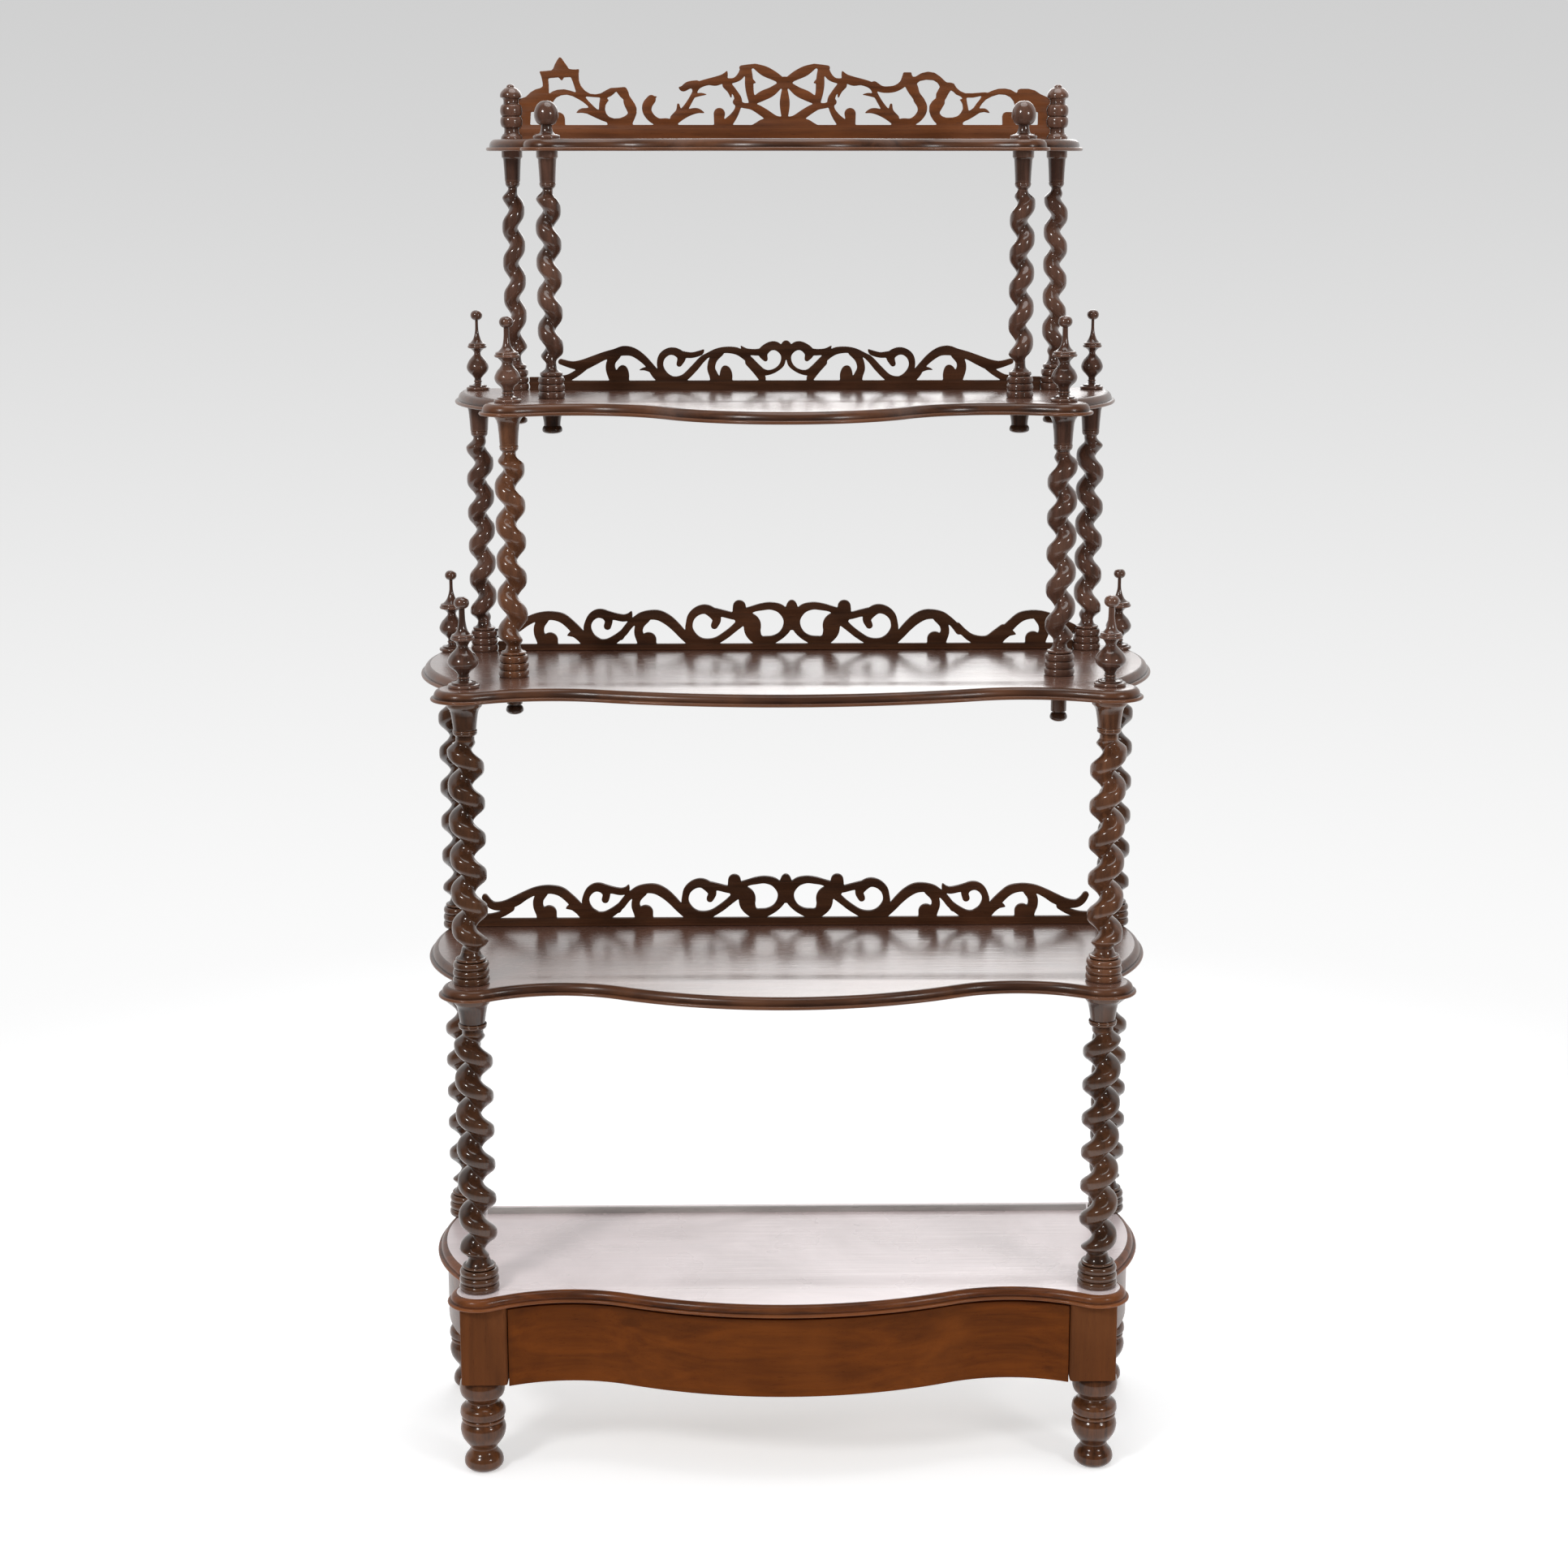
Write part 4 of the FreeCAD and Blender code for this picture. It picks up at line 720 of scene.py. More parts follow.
@dataclass
class BaseTop(Shelf):
    """The lowest board: a top and an applied front moulding with a fine joint."""

    joint: float = -109.5
    half_gap: float = 0.15

    def build(self) -> None:
        """Make the board twice, and cut it to the top and to the front moulding."""
        for name, keep_back in (("base_top", True), ("base_front_moulding", False)):
            mesh = metre_mesh(name, *self.mesh())
            gap = self.half_gap if keep_back else -self.half_gap
            with edited(mesh) as work:
                cut = bmesh.ops.bisect_plane(
                    work, geom=[*work.verts, *work.edges, *work.faces], dist=1e-7,
                    plane_co=(0, (self.joint + gap) * MM, 0), plane_no=(0, 1, 0),
                    clear_outer=not keep_back, clear_inner=keep_back)
                rim = [item for item in cut["geom_cut"] if isinstance(item, bmesh.types.BMEdge)]
                bmesh.ops.holes_fill(work, edges=rim, sides=0)
            self.finished(name, mesh)


BASE_BOARD = BaseTop("base", (385.4, -111.0), 39.5, (273.0, -120.0), -174.0, 456.9, 86.0,
                     245.0, BASE_TOP, BASE_EDGE)
SHELVES = (
    Shelf("crown", (283.9, 21.7), 31.5, (215.0, 6.5), -84.0, 367.5, 151.0, 120.0),
    Shelf("upper", (331.8, -41.7), 34.0, (250.0, -54.7), -176.0, 413.0, 151.0, 215.0,
          UPPER_SHELF),
    Shelf("middle", (385.4, -111.0), 39.5, (280.0, -123.0), -168.0, 456.9, 86.0, 245.0),
    Shelf("lower", (385.4, -111.0), 39.5, (277.0, -117.5), -183.85, 456.9, 86.0, 245.0),
    BASE_BOARD,
)


# ---------------------------------------------------------------- turning

def curved(knots: np.ndarray, share: float) -> np.ndarray:
    """A point of the smooth curve that joins the middle two of four knots.

    Args:
        knots: The four knots.
        share: How far along the curve the point lies, from 0 to 1.

    Returns:
        The point.
    """
    before, first, second, after = knots
    return 0.5 * (2 * first + (second - before) * share
                  + (2 * before - 5 * first + 4 * second - after) * share**2
                  + (3 * first - before - 3 * second + after) * share**3)


class Lathe:
    """Half profile of a turned piece, drawn upwards from its lowest point."""

    FACETS = 48
    LEAST_RADIUS = 0.2

    def __init__(self, radius: float, height: float) -> None:
        """Start the profile at a radius and a height."""
        self.stations: list[Point] = [(radius, height)]

    def line(self, radius: float, height: float) -> Lathe:
        """A straight run."""
        self.stations.append((radius, height))
        return self

    def bead(self, radius: float, height: float, swell: float, count: int = 10) -> Lathe:
        """A half-round that swells out between two points.

        Args:
            radius: Radius at its end.
            height: Height of its end.
            swell: How far it stands out; negative makes a cove.
            count: Facets along it.

        Returns:
            The lathe.
        """
        from_radius, from_height = self.stations[-1]
        run, rise = radius - from_radius, height - from_height
        length = math.hypot(run, rise)
        out = (rise / length, -run / length)
        for turn in np.linspace(0, math.pi, count + 1)[1:]:
            share, push = (1 - math.cos(turn)) / 2, swell * math.sin(turn)
            self.line(from_radius + run * share + out[0] * push,
                      from_height + rise * share + out[1] * push)
        return self

    def quarter(self, radius: float, height: float, upright: bool) -> Lathe:
        """A quarter ellipse that leaves its start along the axis (upright) or across it."""
        from_radius, from_height = self.stations[-1]
        for turn in np.linspace(0, math.pi / 2, 8)[1:]:
            early, late = math.sin(turn), 1 - math.cos(turn)
            across, up = (late, early) if upright else (early, late)
            self.line(from_radius + (radius - from_radius) * across,
                      from_height + (height - from_height) * up)
        return self

    def sweep(self, *knots: Point, count: int = 6) -> Lathe:
        """A smooth curve through further points."""
        path = np.array([self.stations[-1], self.stations[-1], *knots, knots[-1]], float)
        for number in range(len(knots)):
            for share in np.linspace(0, 1, count + 1)[1:]:
                radius, height = curved(path[number:number + 4], share)
                self.line(max(float(radius), self.LEAST_RADIUS), float(height))
        return self

    def mesh(self, x: float, y: float, z: float) -> Solid:
        """Turn the profile about an upright axis through a point."""
        turns = np.linspace(0, 2 * math.pi, self.FACETS, endpoint=False)
        return skinned([[(x + radius * math.cos(turn), y + radius * math.sin(turn), z + height)
                         for turn in turns] for radius, height in self.stations])


def merged(parts: Sequence[Solid]) -> Solid:
    """Put several point and face lists into one."""
    points, faces = [], []
    for some_points, some_faces in parts:
        shift = len(points)
        points += some_points
        faces += [[shift + number for number in face] for face in some_faces]
    return points, faces


def turned(node: str, finish: PolishedWalnut, *parts: Solid, name: str = "turned") -> None:
    """Make one piece from turned parts and put it in place of its node.

    Args:
        node: Name of the CAD node.
        finish: Its finish.
        parts: The point and face lists.
        name: What the name of the piece ends in.
    """
    piece = new_piece(f"{node}_{name}", merged(parts), finish, TURNED_CREASE)
    report(piece, STAND, "turned_walnut", node)


# ---------------------------------------------------------------- columns

class TwistTree:
    """Geometry nodes that lay a helical strand with a sharp groove along an upright axis."""

    INPUTS = ("Length", "Pitch", "Throw", "Thickness", "Breadth", "Neck", "Ease", "Phase", "Hand")
    ROW = 0.0011
    POINTS_AROUND = 57
    SQUEEZE = 0.885

    def __init__(self) -> None:
        """Build the tree once for all columns."""
        self.group = bpy.data.node_groups.new("barley_twist", "GeometryNodeTree")
        for name in self.INPUTS:
            self.group.interface.new_socket(name, in_out="INPUT", socket_type="NodeSocketFloat")
        for name, way, kind in (("Finish", "INPUT", "Material"),
                                ("Geometry", "OUTPUT", "Geometry")):
            self.group.interface.new_socket(name, in_out=way, socket_type=f"NodeSocket{kind}")
        sketch = NodeSketch(self.group)
        wires = dict(zip((*self.INPUTS, "Finish"), sketch.node("NodeGroupInput")))
        length, pitch, ease = wires["Length"], wires["Pitch"], wires["Ease"]
        rows = (length / self.ROW).math("ROUND")
        size = {"Size X": 2 * math.pi, "Size Y": length, "Vertices X": self.POINTS_AROUND,
                "Vertices Y": rows}
        grid = sketch.node("GeometryNodeMeshGrid", size)[0]
        parts = sketch.split(sketch.node("GeometryNodeInputPosition")[0])
        around, height = parts[0], parts[1] + length / 2
        grow = (height / ease).least((length - height) / ease).held()
        grow = grow * grow * (3.0 - grow * 2.0)
        # Polar radius of an ellipse that lies off the axis; its angle is squeezed so that the
        # two flanks meet in a groove on the far side.
        squeezed = around * self.SQUEEZE
        cosine, sine = squeezed.cosine(), squeezed.sine()
        thick2, broad2 = wires["Thickness"] ** 2.0, wires["Breadth"] ** 2.0
        throw = wires["Throw"]
        first = cosine * cosine * broad2 + sine * sine * thick2
        inside = (first - throw * throw * sine * sine).most(0.0).root()
        full = (throw * cosine * broad2 + wires["Thickness"] * wires["Breadth"] * inside) / first
        radius = wires["Neck"] + (full - wires["Neck"]) * grow
        turn = around + wires["Hand"] * (height - wires["Phase"]) * (2 * math.pi) / pitch
        place = sketch.node("ShaderNodeCombineXYZ", {0: radius * turn.cosine(),
                                                     1: radius * turn.sine(), 2: height})[0]
        shape = grid
        for step, settings in (("SetPosition", {"Position": place}),
                               ("MergeByDistance", {"Distance": 1e-6}), ("RealizeInstances", {}),
                               ("SetMaterial", {"Material": wires["Finish"]})):
            shape = sketch.node(f"GeometryNode{step}", {0: shape, **settings})[0]
        sketch.output("NodeGroupOutput", shape)

    def strand(self, finish: PolishedWalnut, **values: float) -> Solid:
        """Bake one strand.

        Args:
            finish: Its finish.
            values: The inputs by name in lower case; lengths in millimetres, hand as 1 or -1.

        Returns:
            Vertices in millimetres from the foot of the strand, and faces with both ends shut.
        """
        carrier = placed("strand", bpy.data.meshes.new("strand"))
        twist = carrier.modifiers.new("twist", "NODES")
        twist.node_group = self.group
        for item in self.group.interface.items_tree:
            if item.in_out == "INPUT":
                if item.name == "Finish":
                    twist[item.identifier] = dressed(finish)
                else:
                    unit = 1.0 if item.name == "Hand" else MM
                    twist[item.identifier] = float(values[item.name.lower()]) * unit
        mesh = baked(carrier)
        carrier.modifiers.clear()
        bpy.data.objects.remove(carrier)
        with edited(mesh) as work:
            rim = [edge for edge in work.edges if edge.is_boundary]
            bmesh.ops.holes_fill(work, edges=rim, sides=0)
            points = [tuple(part / MM for part in vertex.co) for vertex in work.verts]
            faces = [[vertex.index for vertex in face.verts] for face in work.faces]
        bpy.data.meshes.remove(mesh)
        return points, faces


@dataclass
class Corner:
    """What differs between the four columns of a tier.

    Attributes:
        x: Place of the axis.
        y: Place of the axis.
        pitch: Height of one turn of the strand.
        crest: Height above the floor at which the strand leans to the right.
        slim: Thickness against the tier's own.
    """

    x: float
    y: float
    pitch: float
    crest: float
    slim: float = 1.0


@dataclass
class Tier:
    """Four barley-twist columns between two shelves, with rings below and capitals above.

    The strand is an ellipse (thickness and breadth, half each) whose centre circles about the
    axis (throw).  The other lengths are radii and heights of the turned ends, from the ringed
    base to the flange under the shelf.  Warm columns are of redder wood.
    """

    name: str
    below: str
    corners: dict[str, Corner]
    throw: float
    thickness: float
    breadth: float
    ring: float
    ring_pitch: float
    base_height: float
    flange: float
    flange_height: float
    body: float
    collar: float
    neck: float
    capital_height: float
    flare: float = 10.5
    finish: PolishedWalnut = TURNED
    warm: tuple[str, ...] = ()

    RINGS: ClassVar[int] = 3
    # Depths below the upper shelf at which the parts of a capital end, from the neck upwards.
    ENDS: ClassVar[tuple[float, ...]] = (45.2, 43.6, 39.6, 37.0, 36.8)

    def base(self, slim: float) -> Lathe:
        """Profile of the ringed base: rings that shrink upwards, a shoulder and the neck."""
        ring = self.ring * slim
        lathe = Lathe(ring * 0.9, 0.0)
        for number in range(self.RINGS):
            swell = ring * (1.0 - 0.02 * number)
            groove = ring * (0.88 - 0.03 * number)
            lathe.bead(groove, (number + 1) * self.ring_pitch, swell - groove)
        height = self.RINGS * self.ring_pitch
        left = self.base_height - height
        lathe.line(ring * 0.72, height + 0.3)
        lathe.bead(ring * 0.70, height + 0.36 * left, ring * 0.13)
        lathe.sweep((self.neck * slim * 1.16, height + 0.62 * left),
                    (self.neck * slim, self.base_height + 0.6))
        return lathe

    def capital(self, height: float, slim: float) -> Lathe:
        """Profile of the capital: neck, ring, tapered body, flare and flange."""
        neck, collar, body = self.neck * slim, self.collar * slim, self.body
        seat, spread = height - self.flange_height, self.flange - self.body
        stem, cove, ring, upper_ring, foot = (height - depth for depth in self.ENDS)
        lathe = Lathe(neck, height - self.capital_height - 0.6)
        lathe.line(neck, stem).line(neck * 1.12, cove)
        lathe.bead(collar * 0.93, ring, collar * 0.07, 8)
        lathe.bead(collar * 0.9, upper_ring, collar * 0.06, 6)
        lathe.line(body * 0.86, foot).sweep((body * 0.92, (foot + seat) / 2), (body, seat))
        lathe.sweep((body + 0.28 * spread, seat + 0.5 * self.flare),
                    (body + 0.85 * spread, seat + 0.9 * self.flare))
        lathe.line(self.flange, seat + self.flare).line(self.flange, height)
        return lathe

    def build(self, tree: TwistTree) -> None:
        """Make the four columns."""
        floor = TOPS[self.below]
        height = TOPS[self.name] - BOARD - floor
        for corner, place in self.corners.items():
            finish = TURNED_RED if corner in self.warm else self.finish
            start = self.base_height - 1.0
            end = height - self.capital_height + 1.0
            hand = 1.0 if corner in ("front_right", "back_left") else -1.0
            slim = place.slim
            points, faces = tree.strand(
                finish, length=end - start, pitch=place.pitch, throw=self.throw * slim,
                thickness=self.thickness * slim, breadth=self.breadth * slim,
                neck=self.neck * slim, ease=place.pitch * 0.3,
                phase=place.crest - floor - start, hand=hand)
            strand = [(place.x + x, place.y + y, floor + start + z) for x, y, z in points]
            turned(f"{self.name}_column_{corner}", finish, (strand, faces),
                   self.base(slim).mesh(place.x, place.y, floor),
                   self.capital(height, slim).mesh(place.x, place.y, floor), name="twist")


TIERS = (
    Tier("crown", "upper", {
        "front_left": Corner(-283.9, 29.7, 40.6, 1394.6),
        "front_right": Corner(283.9, 29.7, 41.2, 1400.5),
        "back_left": Corner(-336.7, BACK_ROW, 43.0, 1382.3, 0.92),
        "back_right": Corner(336.7, BACK_ROW, 40.2, 1386.9, 0.98)},
        throw=4.9, thickness=10.4, breadth=12.2, ring=16.3, ring_pitch=8.7,
        base_height=42.0, flange=12.9, flange_height=10.2, body=11.0, collar=10.2,
        neck=6.1, capital_height=46.0, flare=2.8, finish=TURNED_PALE),
    Tier("upper", "middle", {
        "front_left": Corner(-331.8, -29.7, 44.0, 1078.3),
        "front_right": Corner(331.8, -29.7, 43.3, 1086.0),
        "back_left": Corner(-385.5, BACK_ROW, 42.2, 1072.6, 0.93),
        "back_right": Corner(385.5, BACK_ROW, 43.2, 1053.7, 0.96)},
        throw=6.0, thickness=12.3, breadth=14.4, ring=18.4, ring_pitch=9.0,
        base_height=38.0, flange=17.6, flange_height=13.0, body=12.8, collar=11.9,
        neck=8.2, capital_height=46.6, finish=TURNED_PALE, warm=("front_left",)),
    Tier("middle", "lower", {
        "front_left": Corner(-385.4, -104.0, 44.0, 729.1),
        "front_right": Corner(385.4, -104.0, 45.0, 696.6),
        "back_left": Corner(-426.3, BACK_ROW, 45.4, 709.0, 0.96),
        "back_right": Corner(426.3, BACK_ROW, 45.0, 691.9, 0.96)},
        throw=7.6, thickness=14.4, breadth=17.4, ring=22.3, ring_pitch=9.3,
        base_height=40.0, flange=21.3, flange_height=18.6, body=15.9, collar=15.1,
        neck=11.2, capital_height=50.0, warm=("front_right",)),
    Tier("lower", "base", {
        "front_left": Corner(-385.4, -104.0, 44.3, 315.3),
        "front_right": Corner(385.4, -104.0, 43.4, 306.9),
        "back_left": Corner(-426.3, BACK_ROW, 43.3, 303.4, 0.96),
        "back_right": Corner(426.3, BACK_ROW, 43.6, 323.7, 0.96)},
        throw=8.2, thickness=15.4, breadth=18.2, ring=24.6, ring_pitch=9.6,
        base_height=42.0, flange=22.2, flange_height=20.6, body=17.6, collar=17.8,
        neck=12.8, capital_height=50.0),
)


# ---------------------------------------------------------------- finials, pendants, feet

class Turnings:
    """Finials over the columns, pendants under the upper shelves, and feet."""

    FEET = (("front", 385.4, -104.0), ("rear", 425.5, 147.0))

    @staticmethod
    def onion(total: float, disc: float, bulb: float, collar: float, ball: float,
              neck: float, spire: float) -> Lathe:
        """Spired finial: disc, stem, onion bulb, ringed collar, thin spire and ball.

        Args:
            total: Height over all.
            disc: Radius of the foot disc.
            bulb: Radius of the bulb.
            collar: Radius of the collar.
            ball: Radius of the ball at the tip.
            neck: Radius of the stem and between the bulb and the collar.
            spire: Radius of the spire at its thinnest.

        Returns:
            The profile.
        """
        unit = total / 104.0
        lathe = Lathe(disc * 0.97, 0.0).line(disc, 0.8 * unit)
        lathe.bead(disc * 0.95, 4.1 * unit, 0.8, 6).line(disc * 0.8, 4.6 * unit)
        lathe.line(disc * 0.78, 6.4 * unit).quarter(neck, 9.4 * unit, upright=False)
        lathe.line(neck, 10.4 * unit).bead(neck, 12.8 * unit, 0.9, 6)
        lathe.line(neck, 15.4 * unit)
        lathe.sweep((bulb * 0.53, 19.0 * unit), (bulb * 0.88, 24.4 * unit),
                    (bulb, 30.6 * unit), (bulb * 0.80, 38.0 * unit), (bulb * 0.55, 42.6 * unit),
                    (neck * 0.98, 47.0 * unit), (neck * 1.15, 50.6 * unit),
                    (collar * 0.72, 54.2 * unit))
        lathe.line(collar * 0.88, 54.8 * unit)
        lathe.bead(collar * 0.88, 58.6 * unit, collar * 0.1, 7)
        lathe.bead(collar * 0.76, 61.4 * unit, collar * 0.06, 6)
        lathe.line(collar * 0.70, 61.8 * unit)
        lathe.sweep((collar * 0.50, 64.6 * unit), (max(collar * 0.36, spire * 1.6), 68.0 * unit),
                    (max(collar * 0.24, spire * 1.3), 73.0 * unit),
                    (spire * 1.06, 80.0 * unit), (spire, total - 1.93 * ball))
        lathe.bead(0.4, total, ball * 0.99, 16)
        return lathe

    @staticmethod
    def knob() -> Lathe:
        """Ball finial of the crown: flared cap, short neck and ball."""
        lathe = Lathe(15.6, 0.0).line(16.0, 1.0).bead(15.2, 4.2, 0.6, 6).line(12.6, 5.2)
        lathe.quarter(7.0, 10.6, upright=False).line(6.4, 13.4).line(6.6, 15.8)
        return lathe.bead(0.4, 44.0, 10.9, 18)

    @staticmethod
    def cone() -> Lathe:
        """Rear finial of the crown: flared foot, two rings and a domed cap with a button."""
        lathe = Lathe(12.6, 0.0).bead(12.2, 4.0, 0.6, 6).line(10.6, 6.4)
        lathe.quarter(8.8, 10.4, upright=False).line(8.8, 13.2).line(10.0, 14.2)
        lathe.bead(10.8, 27.8, 3.1).bead(10.2, 42.0, 3.0).line(9.2, 43.4).line(9.2, 46.4)
        lathe.quarter(12.8, 50.0, upright=True)
        lathe.sweep((13.3, 52.6), (12.3, 56.2), (8.6, 60.4), (5.2, 62.4), (4.5, 64.4),
                    (2.6, 65.8), (0.4, 66.2))
        return lathe

    @staticmethod
    def small_pendant() -> Lathe:
        """Button under the upper shelf."""
        lathe = Lathe(0.4, -29.0).sweep((7.0, -28.4), (11.2, -26.6), (12.3, -23.8),
                                        (11.4, -20.8), (10.0, -19.0))
        return lathe.sweep((10.3, -14.5), (11.4, -8.0), (12.6, -3.0)).bead(12.7, 0.0, 0.4, 4)

    @staticmethod
    def large_pendant(length: float) -> Lathe:
        """Drop with a bulb under the middle shelf.

        Args:
            length: How far it hangs down.

        Returns:
            The profile.
        """
        end = -length
        lathe = Lathe(0.4, end).sweep((6.0, end + 0.8), (9.9, end + 3.4), (10.7, end + 6.4),
                                      (9.6, end + 9.8), (7.8, end + 11.6), (7.8, end + 12.6))
        lathe.line(9.3, end + 13.2).line(9.6, end + 14.0)
        return lathe.line(9.6, -2.0).line(10.2, 0.0)

    @staticmethod
    def foot() -> Lathe:
        """Bun foot with two big rings, a cove and the ring under the block."""
        lathe = Lathe(13.8, 0.0).sweep((19.5, 2.2), (23.8, 7.0), (24.5, 12.5), (22.8, 18.5),
                                       (18.4, 24.4), (16.6, 28.6))
        lathe.sweep((18.2, 32.6), (22.6, 38.4), (26.6, 45.6), (28.4, 53.6), (27.7, 60.0),
                    (25.0, 64.8), count=7)
        lathe.line(24.8, 65.6).bead(25.6, 70.4, 1.6, 7)
        lathe.sweep((27.8, 73.4), (28.5, 77.6), (27.2, 83.8), (22.6, 88.2))
        lathe.line(21.0, 88.8).sweep((19.2, 91.6), (20.0, 94.6), (21.6, 97.0))
        lathe.line(22.4, 97.3).sweep((26.4, 101.0), (28.3, 107.2), (28.2, 113.6), (26.8, 119.4),
                                     (24.6, 124.0))
        return lathe

    def build(self) -> None:
        """Make the finials, the pendants and the feet."""
        shapes = {
            "crown": {"front": self.knob(), "back": self.cone()},
            "upper": {"front": self.onion(101.0, 16.2, 15.5, 15.4, 6.7, 6.4, 3.3),
                      "back": self.onion(98.7, 14.2, 13.8, 12.2, 6.4, 4.3, 1.9)},
            "middle": {"front": self.onion(108.5, 18.8, 18.7, 14.6, 7.2, 6.6, 3.6),
                       "back": self.onion(103.0, 16.4, 16.2, 15.7, 6.3, 5.6, 2.2)},
        }
        for tier in TIERS[:3]:
            for corner, place in tier.corners.items():
                profile = shapes[tier.name][corner.split("_")[0]]
                turned(f"{tier.name}_finial_{corner}", TURNED_PALE,
                       profile.mesh(place.x, place.y, TOPS[tier.name]))
        for tier, profiles in (
                (TIERS[0], (self.small_pendant(), self.small_pendant())),
                (TIERS[1], (self.large_pendant(33.0), self.large_pendant(44.0)))):
            seat = TOPS[tier.below] - BOARD
            turned(f"{tier.below}_pendants", TURNED,
                   *(profiles[place.x > 0].mesh(place.x, place.y, seat)
                     for place in tier.corners.values()))
        for row, x, y in self.FEET:
            for side, sign in SIDES:
                turned(f"foot_{row}_{side}", FOOT_FINISH, self.foot().mesh(sign * x, y, 0.0))


# ---------------------------------------------------------------- fretwork

UPPER_BANDS = [
    [(0, 58, 6), (0, 54, 13), (0, 46, 15), (1, 40, 5)],
    [(26, 38, 6), (29, 46, 12), (22, 53, 11), (14, 54.5, 11), (7, 50, 9), (3.5, 42, 6),
     (5, 32, 6), (12, 25, 5), (21, 21.5, 6), (29, 22, 8), (37, 28, 9), (45, 36, 9), (53, 43, 9),
     (62, 48, 9), (74, 49.5, 8), (86, 48, 7), (97, 43.5, 6), (106, 37, 8), (116, 26, 9),
     (128, 15, 9), (140, 12, 9), (149, 16, 8), (156, 24, 8), (158, 33, 8), (155, 42, 9),
     (147, 47.5, 9), (138, 47, 10), (131, 41, 11), (134, 32, 7)],
    [(30, 47, 9), (40, 46.5, 8), (50, 48, 7), (57, 54.5, 1)],
    [(30, 14, 9), (38, 24, 9), (47, 34, 9)],
    [(130, 44, 8), (118, 43, 7), (107, 46, 6), (103, 50, 1)],
    [(82, 46, 8), (91, 38, 10), (94, 27, 10), (91, 18, 11), (88, 10, 14)],
    [(75.5, 10, 15), (75.5, 18, 16), (76, 24, 12), (77, 27, 5)],
    [(152, 12, 10), (162, 18, 11), (171, 30, 9), (181, 40, 10), (192, 47, 11), (203, 48.5, 12),
     (214, 46, 10), (228, 42, 10), (242, 36, 12), (255, 31, 13), (268, 31, 9), (282, 35, 7)],
    [(248, 30, 5), (262, 21, 8), (274, 15, 8), (290, 14, 6)],
    [(212, 43, 10), (219, 35, 11), (220, 26, 12), (216, 16, 14)],
    [(205, 10, 15), (205.5, 18, 17), (205, 24, 13), (204, 28, 5)],
    [(168, 24, 6), (177, 26, 4), (184, 24.5, 1)],
]

LARGE_BANDS = [
    [(0, 65.6, 6), (0, 61, 13.5), (0, 50, 18), (0, 38, 14), (0, 33, 5)],
    [(60, 52, 12), (50, 57, 8), (38, 60, 9), (26, 61, 9.5), (14, 57, 11), (6, 46, 11),
     (6, 34, 11), (13, 24, 9), (23, 18, 10), (34, 15, 14)],
    [(34, 14, 14), (44, 18, 14), (50, 28, 20), (51, 38, 22), (57, 46, 16)],
    [(67, 60.2, 16.6), (67, 52, 17), (65, 42, 14)],
    [(99, 36, 9), (96, 44, 11), (101, 52, 13), (110, 57, 12), (120, 55, 11), (128, 48, 10),
     (131, 39, 9), (131, 30, 10), (125, 20, 11), (116, 14, 12), (105, 13, 12), (95, 17, 9),
     (84, 24, 9), (74, 32, 9), (64, 41, 11)],
    [(98, 53, 11), (88, 51.5, 9), (76, 48.5, 9), (68, 48, 10)],
    [(128, 13, 10), (139, 24, 11), (148, 34, 12), (158, 43, 13), (169, 49, 13), (180, 50, 12),
     (191, 48, 11), (199, 44, 9), (207, 37, 9), (214, 28, 9)],
    [(186, 45, 10), (194, 37, 11), (196, 27, 11), (192, 17, 13), (189, 10, 16)],
    [(182.5, 6, 18), (183, 12, 19), (183.2, 17.6, 19.6)],
    [(264, 15, 12), (273, 27, 13), (283, 38, 12), (293, 46, 12), (304, 49, 11), (315, 49, 11),
     (327, 47, 10), (340, 41, 11), (352, 34, 13), (364, 29, 12), (374, 27, 11), (382, 28, 10),
     (388, 32.5, 9.5), (392.3, 39.2, 8)],
    [(315, 45, 10), (322, 37, 13), (323, 27, 13), (319, 17, 14), (316, 10, 18)],
    [(308.3, 6, 18), (308.8, 12, 19), (309, 17.6, 19.6)],
    [(270, 22, 12), (277, 25.5, 9), (282, 25.4, 6), (287, 23.8, 1)],
]
LARGE_SCROLL = [
    [(235.5, 35.6, 9.5), (234, 43, 10), (238, 50, 12), (247, 52, 11), (255, 48, 10),
     (260, 40, 9),
     (261, 31, 10), (256, 21, 10), (248, 14, 12)],
    [(214, 28, 9), (224, 20, 10), (236, 13, 12), (248, 13, 12), (262, 16, 10)],
    [(236, 50, 11), (226, 48, 9), (215, 46, 9), (208, 48, 8), (205, 54, 2)],
    [(219, 22, 9), (212, 32, 8), (204, 42, 8)],
]
LARGE_DIP = [
    [(212, 30, 9), (220, 22, 9), (229, 15, 10), (241, 11, 12), (252, 12, 12), (262, 19, 12),
     (271, 27, 10)],
]
LARGE_TAIL = [[(358, 24, 8), (370, 17, 8), (384, 13, 8), (400, 12, 8)]]

